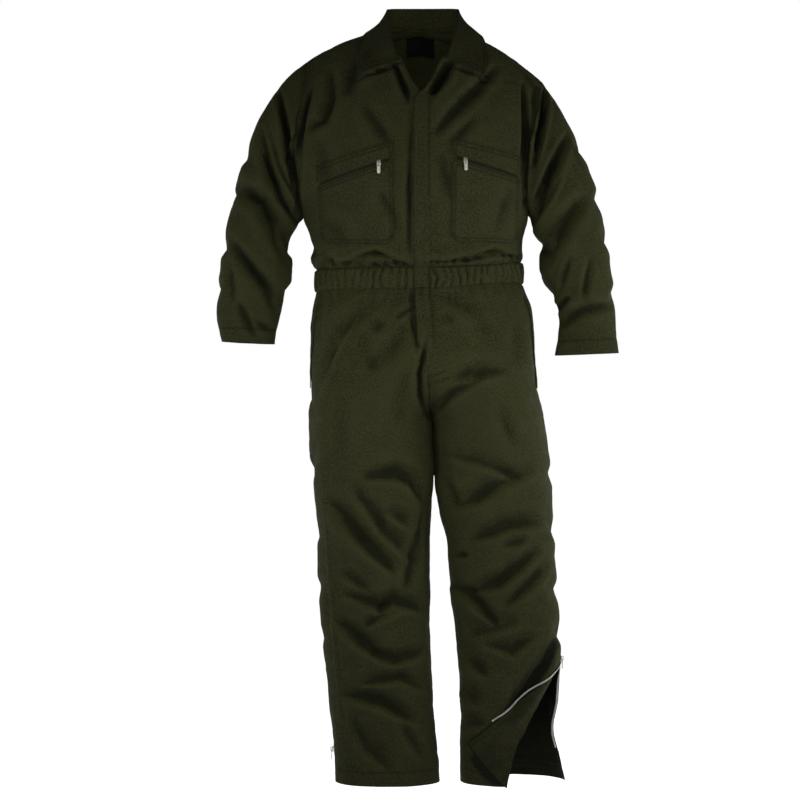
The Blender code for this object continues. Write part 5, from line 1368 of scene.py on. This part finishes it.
def collar_column(base, fold, rim, off, surface):
    """Points from the neck seam up the stand, over the roll and down the fall, whose edge stands off the bodice.
    The sheet is its under side."""
    up = unit(fold - base) if np.linalg.norm(fold - base) > 4 else np.array([0, 0, 1.0])
    out = unit(unit(rim - fold) + np.array([0, 0, 0.2]))
    height = np.linalg.norm(fold - base)
    points = [base, base + (fold - base) * 0.5]
    points.append(fold - up * min(COLLAR_ROLL, height * 0.25))
    points.append(fold + out * COLLAR_ROLL * 0.5 + up * COLLAR_ROLL * 0.25)
    for share in (0.12, 0.36, 0.68, 1.0):
        point = fold + (rim - fold) * share + out * COLLAR_ROLL * (1 - share)
        bulge = np.array([0, 0, 5.0]) * math.sin(math.pi * share)
        outward = unit(np.array([point[0], point[1] * 0.8, 60.0]))
        points.append(surface.cleared(point + bulge * 0.6, LAID_GAP + 0.4 + off * share**2, outward))
    points = np.array(points)
    reached = np.concatenate([[0], np.cumsum(np.linalg.norm(np.diff(points, axis=0), axis=1))])
    low = np.linspace(0, reached[2], 9)[:-1]
    roll = np.linspace(reached[2], reached[4], 8)[:-1]
    fall = np.linspace(reached[4], reached[7], COLLAR_POINTS - 15)
    at = np.concatenate([low, roll, fall])
    return np.stack([smooth(at, reached, points[:, k]) for k in range(3)], -1)


def sew_label(grids, normals):
    """A bare label inside the back neck."""
    right, left = ((grids[side, BACK], normals[side, BACK]) for side in (RIGHT, LEFT))
    chosen = np.linspace(BACK_NECK - 0.12 * FINER, BACK_NECK - 2 * FINER, 14)
    rows = [centre_row(right, left, j, np.linspace(-30, 30, 21)) for j in chosen]
    label = strip(rows, 1.0, -3.8, down=True)
    marks = marks_of(label[0], start=True, end=True, first=True, last=True)
    shell("neck_label_cloth", [label], [marks], MATERIALS["label"])


# --- Pockets and leg zips --------------------------------------------------------------------------------------


def sew_chest_pocket(side, surface):
    """An upper band and a lower patch with the slanted zip between them."""
    size, name = POCKET[side], NAMES[side]

    def edge(pair, s):
        return pair[0] + (pair[1] - pair[0]) * s

    def across(s, z):
        top, low = edge(size["top"], s), edge(size["bottom"], s)
        outer = size["outer"] + (size["foot"] - size["outer"]) * (top - z) / (top - low)
        return size["inner"] + (outer - size["inner"]) * s

    def band(s, t):
        z = edge(size["top"], s) + (edge(size["mouth"], s) + MOUTH_HALF - edge(size["top"], s)) * t
        return across(s, z), z

    def patch(s, t):
        top = edge(size["mouth"], s) - MOUTH_HALF
        width = abs(size["foot"] - size["inner"])
        cut = CORNER * max(0, 1 - min(s, 1 - s) * width / CORNER)
        z = top + (edge(size["bottom"], s) + cut - top) * t
        return across(s, z), z

    def tape(s, t):
        z = edge(size["mouth"], s) + (MOUTH_HALF - 0.35) * (1 - 2 * t)
        return across(s, z), z

    width = abs(size["foot"] - size["inner"])
    corner = np.linspace(0, CORNER / width, 4)
    between = np.linspace(CORNER / width, 1 - CORNER / width, 26)
    columns = np.unique(np.round(np.concatenate([corner, between, 1 - corner]), 6))
    for part, outline, rows, mark in (
        ("band", band, 12, dict(start=True, end=True, first=True)),
        ("patch", patch, 34, dict(start=True, end=True, first=True, last=True)),
    ):
        sides = laid(surface, outline, columns, np.linspace(0, 1, rows))
        marks = marks_of(sides[0], **mark)
        shell(f"chest_pocket_{name}_{part}_cloth", [sides], [marks], MATERIALS["twill"])
    inset = columns[(columns >= MOUTH_START) & (columns <= 0.97)]
    sides = laid(surface, tape, inset, np.linspace(0, 1, 7), LAID_GAP, TAPE)
    shell(f"chest_zip_{name}_tape", [sides], [marks_of(sides[0])], MATERIALS["pocket_tape"])
    teeth(f"chest_zip_{name}_teeth", sides, 3, 1.5, (2.2, 0.9, 0.7), MATERIALS["dark_teeth"])


def sew_side_pocket(side, leg, surface):
    """The welt of a slash pocket, which runs down to the side seam."""
    rows = []
    for k in np.linspace(0, 7, 36):
        z, near = -522 - 24 * k, 34 - 3.2 * k
        rows.append([leg.at(near + d, z) for d in np.linspace(0, 12, 6)])
    welt = strip(rows, TRIM, LAID_GAP, surface, down=True)
    marks = marks_of(welt[0], start=True, end=True, first=True, last=True)
    shell(f"side_pocket_welt_{NAMES[side]}_cloth", [welt], [marks], MATERIALS["twill"])


def add_block(points, faces, centre, wide, long, levels):
    """One small block: wide and long are half its sides, and each level is how high it is and its share of them."""
    base = len(points)
    for high, share in levels:
        for x, y in ((-1, -1), (1, -1), (1, 1), (-1, 1)):
            points.append(tuple((centre + wide * x * share + long * y * share + high) * MM))
    faces += [[base + c for c in (3, 2, 1, 0)], [base + c for c in (8, 9, 10, 11)]]
    for low in (base, base + 4):
        faces += [[low + c, low + (c + 1) % 4, low + 4 + (c + 1) % 4, low + 4 + c] for c in range(4)]


def teeth(name, sides, column, pitch, size, material):
    """Zip teeth along one column of a tape. size is across the chain, along it and its height."""
    line = sides[0][:, column]
    both = np.concatenate([line, unit(line - sides[1][:, column])], axis=1)
    points, faces = [], []
    wide, long, high = (v / 2 for v in size)
    for k in range(int(length_of(both) / pitch)):
        at = along_place(both, (k + 0.5) * pitch)
        ahead = along_place(both, (k + 0.5) * pitch + 0.4)
        up, forward = unit(at[3:]), unit(ahead[:3] - at[:3])
        levels = ((-high * up, 1.0), (high * 0.35 * up, 1.0), (high * up, 0.72))
        add_block(points, faces, at[:3], np.cross(forward, up) * wide, forward * long, levels)
    mesh_object(name, points, faces, material)


def sew_bartacks(surface, low_surface):
    """Short dense bars of thread where a seam is strained."""
    points, faces = [], []
    for x, z, angle, lift in BARTACKS:
        centre, normal = (surface if z > WAIST_Z else low_surface).front(x, z)
        slant = np.array([math.cos(math.radians(angle)), 0, math.sin(math.radians(angle))])
        along = unit(np.cross(normal, (0, 1.0, 0)) + slant * 9)
        along = unit(along - normal * (along @ normal))
        levels = [((lift + high) * normal, share) for high, share in ((-0.3, 1.0), (0.25, 1.0), (0.6, 0.7))]
        add_block(points, faces, centre, along * 3.6, np.cross(normal, along) * 0.8, levels)
    mesh_object("bartacks", points, faces, MATERIALS["thread"])


def sew_leg_zips(trousers, normals, reflected, lift):
    """The closed zip on the wearer's right, and the two tapes of the open one on the left, with their teeth."""
    heights = np.linspace(LEG_ZIP_TOP - 9, LEG_ZIP_END, 40)
    legs = {key: Leg(trousers[key], normals[key]) for key in trousers}
    front, back = legs[RIGHT, FRONT], legs[RIGHT, BACK]
    rows = [[front.at(4.6, z), front.at(2.3, z), front.at(0, z), back.at(2.3, z), back.at(4.6, z)] for z in heights]
    tape = strip(rows, TAPE, -1.6)
    shell("leg_zip_right_tape", [tape], [marks_of(tape[0])], MATERIALS["zip_tape"])
    teeth("leg_zip_right_teeth", tape, 2, 2.4, (4.6, 1.5, 1.5), MATERIALS["zip_teeth"])
    rows = []
    for z in heights:
        share = ease((LEG_ZIP_TOP - 9 - z) / 45)
        edge, row = legs[LEFT, BACK].at(4.6, z)[0], []
        for d in (0.6, 1.6, 2.6, 3.6, 4.6):
            point, normal = legs[LEFT, BACK].at(d, z)
            turned = edge + np.array([-0.80, -0.60, 0]) * (4.6 - d)
            facing = unit(normal * (1 - share) + np.array([0.60, -0.80, 0]) * share)
            row.append((point + (turned - point) * share, facing))
        rows.append(row)
    tape = strip(rows, TAPE, -1.6)
    shell("leg_zip_left_back_tape_cloth", [tape], [marks_of(tape[0])], MATERIALS["zip_tape"])
    teeth("leg_zip_left_back_teeth", tape, 0, 2.4, (3.4, 1.5, 2.0), MATERIALS["zip_teeth"])
    heights = np.linspace(LEG_ZIP_TOP - 20, LEG_ZIP_END, 40)
    rows = []
    for z in heights:
        share = (LEG_ZIP_TOP - z) / (LEG_ZIP_TOP - HEM_Z)
        places = [reflected(CUT_AT_HEM * share - d, z) for d in (1.2, 2.2, 3.2, 4.2, 5.2)]
        rows.append([(point + normal * lift(z), normal) for point, normal in places])
    tape = strip(rows, TAPE, 0.8)
    shell("leg_zip_left_front_tape_cloth", [tape], [marks_of(tape[0])], MATERIALS["zip_tape"])
    teeth("leg_zip_left_front_teeth", tape, -1, 2.4, (3.4, 1.5, 2.0), MATERIALS["zip_teeth"])


# --- Materials -------------------------------------------------------------------------------------------------

MATERIALS = {}


class Nodes:
    """A material's nodes, made with short calls. Every call returns an output socket."""

    def __init__(self, name):
        self.material = bpy.data.materials.new(name)
        self.material.use_nodes = True
        self.tree = self.material.node_tree
        self.shader = self.tree.nodes["Principled BSDF"]

    def put(self, socket, value):
        if isinstance(value, bpy.types.NodeSocket):
            self.tree.links.new(value, socket)
        else:
            socket.default_value = value

    def node(self, kind, inputs=(), **settings):
        made = self.tree.nodes.new(kind)
        for key, value in settings.items():
            setattr(made, key, value)
        for key, value in dict(inputs).items():
            self.put(made.inputs[key], value)
        return made

    def math(self, operation, *values):
        return self.node("ShaderNodeMath", enumerate(values), operation=operation).outputs[0]

    def ranged(self, value, low, high, to_low=0.0, to_high=1.0, kind="SMOOTHSTEP"):
        inputs = {"Value": value, "From Min": low, "From Max": high, "To Min": to_low, "To Max": to_high}
        return self.node("ShaderNodeMapRange", inputs, interpolation_type=kind).outputs[0]

    def noise(self, vector, scale, detail=2.0, rough=0.5):
        inputs = {"Vector": vector, "Scale": scale, "Detail": detail, "Roughness": rough}
        return self.node("ShaderNodeTexNoise", inputs).outputs[0]

    def wave(self, direction, inputs):
        settings = dict(wave_type="BANDS", bands_direction=direction, wave_profile="SIN")
        return self.node("ShaderNodeTexWave", inputs, **settings).outputs["Fac"]

    def bumped(self, strength, height):
        inputs = {"Strength": strength, "Distance": 1.0, "Height": height}
        return self.node("ShaderNodeBump", inputs).outputs[0]

    def mix(self, share, a, b):
        colours = [value if isinstance(value, bpy.types.NodeSocket) else (*value, 1.0) for value in (a, b)]
        inputs = {0: share, 6: colours[0], 7: colours[1]}
        return self.node("ShaderNodeMix", inputs, data_type="RGBA").outputs[2]

    def attribute(self, name):
        made = self.node("ShaderNodeAttribute", attribute_name=name, attribute_type="GEOMETRY")
        return made.outputs["Fac"]

    def finish(self, **settings):
        for key, value in settings.items():
            self.put(self.shader.inputs[key.replace("_", " ")], value)
        return self.material


def line_at(nodes, distance, place, half):
    """1 on the line where distance is place, falling to 0 half a width away."""
    off = nodes.math("ABSOLUTE", nodes.math("SUBTRACT", distance, place))
    return nodes.ranged(off, half, half * 0.4)


def make_twill(name, colour=(0.0335, 0.0358, 0.0118)):
    """Heavy cotton twill: diagonal ribs, slubs, uneven dye, painted highlight on raised cloth and painted shade in
    its hollows, topstitching with puckers, and wear on the edges."""
    nodes = Nodes(name)
    uv = nodes.node("ShaderNodeUVMap", uv_map="cloth").outputs[0]
    place = nodes.node("ShaderNodeTexCoord").outputs["Object"]
    rim, run, hem, hollow_shade = (nodes.attribute(label) for label in ("rim", "run", "hem", "hollow_shade"))

    settings = {"Vector": uv, "Scale": 560.0, "Distortion": 1.2, "Detail": 1.0, "Detail Scale": 0.6}
    rib = nodes.wave("DIAGONAL", settings)
    slub = nodes.noise(uv, 900.0, 2.0, 0.6)
    fleck = nodes.noise(uv, 250.0, 2.0, 0.7)
    cloud = nodes.noise(place, 7.0, 3.0, 0.55)
    patch = nodes.noise(place, 38.0, 3.0, 0.6)
    crumple = nodes.noise(place, 70.0, 4.0, 0.65)

    dash = nodes.ranged(nodes.math("PINGPONG", run, 0.0016), 0.00035, 0.0006)
    near_line = nodes.math("MAXIMUM", line_at(nodes, rim, 0.0022, 0.0007), line_at(nodes, rim, 0.0088, 0.0007))
    hem_line = nodes.math("MAXIMUM", line_at(nodes, hem, 0.0285, 0.0008), line_at(nodes, hem, 0.0022, 0.0007))
    thread = nodes.math("MULTIPLY", nodes.math("MAXIMUM", near_line, hem_line), dash)
    # The stitch grooves: sunk in the bump, and darkened in the colour as painted shade.
    sunk = nodes.math(
        "MAXIMUM",
        nodes.math("MAXIMUM", line_at(nodes, rim, 0.0022, 0.0024), line_at(nodes, rim, 0.0088, 0.0024)),
        line_at(nodes, hem, 0.0285, 0.0030),
    )
    worn = nodes.math("MULTIPLY", nodes.ranged(rim, 0.0024, 0.0002), nodes.ranged(patch, 0.42, 0.66))

    base = nodes.mix(nodes.ranged(cloud, 0.35, 0.68), colour, tuple(c * 1.34 for c in colour))
    faded = tuple(c * more for c, more in zip(colour, (1.22, 1.05, 1.0)))
    base = nodes.mix(nodes.ranged(patch, 0.3, 0.75, 0, 0.7), base, faded)
    for share, factor in (
        (nodes.ranged(fleck, 0.5, 0.66, 0, 0.85), 1.9),
        (nodes.ranged(fleck, 0.5, 0.34, 0, 0.8), 0.42),
        (nodes.ranged(slub, 0.52, 0.74, 0, 0.35), 1.6),
        (nodes.math("MULTIPLY", rib, 0.22), 0.62),
        # These mixes paint light into the colour: painted highlight where the cloth is raised, painted shade in its
        # hollows, deepest folds, the shaded places and the trousers' inner side.
        (nodes.ranged(hollow_shade, 0.0, -1.0, 0, 0.50, "LINEAR"), 1.7),
        (nodes.ranged(hollow_shade, 0.0, 1.0, 0, 0.50, "LINEAR"), 0.36),
        (nodes.ranged(hollow_shade, 0.25, 1.0, 0, 0.55), 0.25),
        (nodes.ranged(hollow_shade, 1.0, 1.4, 0, 0.8), 0.10),
        (nodes.math("MULTIPLY", worn, 0.35), 2.0),
        (nodes.math("MULTIPLY", sunk, 0.50), 0.40),
        (nodes.math("MULTIPLY", thread, 0.55), 1.15),
    ):
        base = nodes.mix(share, base, tuple(c * factor for c in colour))

    along_run = nodes.node("ShaderNodeCombineXYZ", {0: run, 1: nodes.math("MULTIPLY", rim, 0.25)})
    pucker = nodes.noise(along_run.outputs[0], 110.0, 1.0, 0.5)
    near = nodes.ranged(rim, 0.016, 0.003)
    near_hem = nodes.ranged(nodes.math("ABSOLUTE", nodes.math("SUBTRACT", hem, 0.0285)), 0.012, 0.001)
    pull = nodes.math("MULTIPLY", nodes.math("MAXIMUM", near, near_hem), nodes.math("SUBTRACT", pucker, 0.5))
    height = nodes.math("MULTIPLY", rib, 0.00010)
    for value, much in ((slub, 0.00010), (crumple, 0.0022), (pull, 0.0040), (sunk, -0.00080), (thread, 0.00030)):
        height = nodes.math("ADD", height, nodes.math("MULTIPLY", value, much))
    return nodes.finish(
        Base_Color=base,
        Roughness=nodes.ranged(patch, 0.3, 0.7, 0.80, 0.92),
        Normal=nodes.bumped(0.9, height),
        Sheen_Weight=0.03,
        Sheen_Roughness=0.4,
        Sheen_Tint=(0.62, 0.64, 0.30, 1),
        Specular_IOR_Level=0.12,
    )


def make_plain(name, colour, rough, metal, grain, bump_height, shine=0.5):
    """A finish with grain: colour and roughness vary with it, and it stands up a little."""
    nodes = Nodes(name)
    place = nodes.node("ShaderNodeTexCoord").outputs["Object"]
    fine, cloud = nodes.noise(place, grain, 3.0, 0.6), nodes.noise(place, 60.0, 2.0, 0.5)
    dark, light = (tuple(min(1, c * share) for c in colour) for share in (0.82, 1.12))
    base = nodes.mix(nodes.ranged(fine, 0.3, 0.7), dark, light)
    base = nodes.mix(nodes.ranged(cloud, 0.45, 0.75, 0.0, 0.35), base, tuple(c * 0.7 for c in colour))
    return nodes.finish(
        Base_Color=base,
        Roughness=nodes.ranged(fine, 0.3, 0.7, rough * 0.85, rough * 1.1),
        Normal=nodes.bumped(0.6, nodes.math("MULTIPLY", fine, bump_height)),
        Metallic=metal,
        Specular_IOR_Level=shine,
    )


def make_woven(name, colour, scale):
    """Woven tape or a satin label: fine crossing threads and a stitched border."""
    nodes = Nodes(name)
    uv = nodes.node("ShaderNodeUVMap", uv_map="cloth").outputs[0]
    rim, run = nodes.attribute("rim"), nodes.attribute("run")
    threads = [nodes.wave(direction, {"Vector": uv, "Scale": scale, "Distortion": 0.6}) for direction in "XY"]
    weave = nodes.math("MULTIPLY", *threads)
    dash = nodes.ranged(nodes.math("PINGPONG", run, 0.0013), 0.0003, 0.0006)
    stitch = nodes.math("MULTIPLY", line_at(nodes, rim, 0.0022, 0.0007), dash)
    base = nodes.mix(weave, tuple(c * 0.8 for c in colour), tuple(c * 1.3 for c in colour))
    base = nodes.mix(stitch, base, tuple(c * 2.6 + 0.004 for c in colour))
    height = nodes.math("ADD", nodes.math("MULTIPLY", weave, 0.00012), nodes.math("MULTIPLY", stitch, 0.0003))
    return nodes.finish(
        Base_Color=base,
        Roughness=nodes.ranged(weave, 0, 1, 0.55, 0.8),
        Normal=nodes.bumped(0.7, height),
        Specular_IOR_Level=0.1,
    )


def make_materials():
    MATERIALS["twill"] = make_twill("twill")
    MATERIALS["waistband"] = make_twill("waistband_twill")
    # The collar's twill is darker than the rest: painted shade, for the collar facing up away from the lamps.
    MATERIALS["collar"] = make_twill("collar_shaded_twill", (0.0272, 0.0290, 0.0098))
    MATERIALS["zip_tape"] = make_woven("zip_tape", (0.0105, 0.0115, 0.0042), 700.0)
    MATERIALS["pocket_tape"] = make_woven("pocket_tape", (0.0215, 0.0232, 0.0080), 700.0)
    MATERIALS["label"] = make_woven("label", (0.0028, 0.0028, 0.0030), 900.0)
    MATERIALS["zip_teeth"] = make_plain("zip_teeth", (0.86, 0.85, 0.80), 0.42, 0.1, 900.0, 0.00004)
    MATERIALS["dark_teeth"] = make_plain("dark_teeth", (0.010, 0.011, 0.004), 0.8, 0.0, 900.0, 0.00004, 0.08)
    MATERIALS["zip_metal"] = make_plain("zip_metal", (0.55, 0.53, 0.47), 0.33, 0.9, 700.0, 0.00005)
    MATERIALS["thread"] = make_plain("thread", (0.026, 0.028, 0.010), 0.85, 0.0, 1500.0, 0.00012, 0.1)
    MATERIALS["zip_pull"] = make_plain("zip_pull", (0.80, 0.78, 0.66), 0.45, 0.1, 500.0, 0.00005)


# --- The scene -------------------------------------------------------------------------------------------------


def make_camera():
    data = bpy.data.cameras.new("camera")
    data.lens, data.sensor_width = 75, 36
    camera = bpy.data.objects.new("camera", data)
    camera.location = (-0.049, -3.4, -0.714)
    camera.rotation_euler = (math.radians(90), 0, 0)
    bpy.context.scene.collection.objects.link(camera)
    bpy.context.scene.camera = camera


def make_area(name, place, size, power, spread, aim=(0.0, 0.0, -0.72)):
    data = bpy.data.lights.new(name, "AREA")
    data.shape, data.size, data.energy, data.spread = "SQUARE", size, power, math.radians(spread)
    light = bpy.data.objects.new(name, data)
    light.location = place
    light.rotation_euler = (Vector(aim) - Vector(place)).to_track_quat("-Z", "Y").to_euler()
    light.visible_camera = False
    bpy.context.scene.collection.objects.link(light)


def make_studio():
    scene = bpy.context.scene
    scene.view_settings.view_transform = "Standard"
    world = bpy.data.worlds.new("studio")
    world.use_nodes = True
    scene.world = world
    tree = world.node_tree
    seen = tree.nodes.new("ShaderNodeLightPath")
    strength = tree.nodes.new("ShaderNodeMapRange")
    strength.inputs["To Min"].default_value = WORLD_LIGHT
    strength.inputs["To Max"].default_value = 1.0
    tree.links.new(seen.outputs["Is Camera Ray"], strength.inputs["Value"])
    tree.links.new(strength.outputs[0], tree.nodes["Background"].inputs["Strength"])
    tree.nodes["Background"].inputs["Color"].default_value = (1, 1, 1, 1)
    nodes = Nodes("floor")
    place = nodes.node("ShaderNodeTexCoord").outputs["Object"]
    shade = nodes.mix(nodes.noise(place, 3.0), (0.90, 0.90, 0.90), (0.92, 0.92, 0.92))
    nodes.finish(Base_Color=shade, Roughness=0.9, Emission_Color=(1, 1, 1, 1), Emission_Strength=FLOOR_GLOW)
    turns = [2 * math.pi * k / 64 for k in range(64)]
    ring = [(FLOOR_RADIUS * math.cos(turn), FLOOR_RADIUS * math.sin(turn), 0) for turn in turns]
    floor = mesh_object("floor", ring, [list(range(len(ring)))], nodes.material)
    floor.location.z = FLOOR_Z
    floor.visible_diffuse = False
    for light in LIGHTS:
        make_area(*light)


def dress_hard_pieces():
    """The sliders and pull tabs keep the frame's shapes, with rounded edges and worn metal."""
    for name, node in frame["nodes"].items():
        kind = name.rsplit("_", 1)[-1]
        if kind not in ("slider", "pull"):
            continue
        material = MATERIALS["zip_metal" if kind == "slider" else "zip_pull"]
        node.data.materials.clear()
        node.data.materials.append(material)
        node.data.shade_smooth()
        for label, size in (("Weld", None), ("Bevel", 0.35)):
            modifier = node.modifiers.new(label, label.upper())
            if size:
                modifier.width, modifier.segments, modifier.limit_method = size * MM, 2, "ANGLE"
                modifier.angle_limit = math.radians(35)
        node.modifiers["Weld"].merge_threshold = 1e-6


def declare():
    """Every piece rides on the suit and stands for its node, which is hidden."""
    for node, held, holders, width, length, area in CUTS:
        piece = bpy.data.objects[node + ("_tape" if node in WHOLE_ZIPS else "_cloth")]
        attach(piece, "suit")
        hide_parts(node)
    for name, slot in TRIMS.items():
        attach(bpy.data.objects[name], "suit")


def main():
    make_materials()
    grids, normals = make_bodice()
    sew_bodice(grids, normals)
    trousers, trouser_normals = make_trousers()
    surface = Surface([grids[s, f] for s in (RIGHT, LEFT) for f in (FRONT, BACK)])
    low_surface = Surface([trousers[s, FRONT] for s in (RIGHT, LEFT)])
    sew_collar(grids, surface)
    sew_label(grids, normals)
    sew_closure(grids, normals, trousers, trouser_normals, surface, low_surface)
    sew_waistband(grids, trousers)
    reflected, lift = sew_trousers(trousers, trouser_normals)
    sew_leg_zips(trousers, trouser_normals, reflected, lift)
    for side in (RIGHT, LEFT):
        sew_chest_pocket(side, surface)
        sew_side_pocket(side, Leg(trousers[side, FRONT], trouser_normals[side, FRONT]), low_surface)
    sew_bartacks(surface, low_surface)
    dress_hard_pieces()
    declare()
    make_camera()
    make_studio()


main()
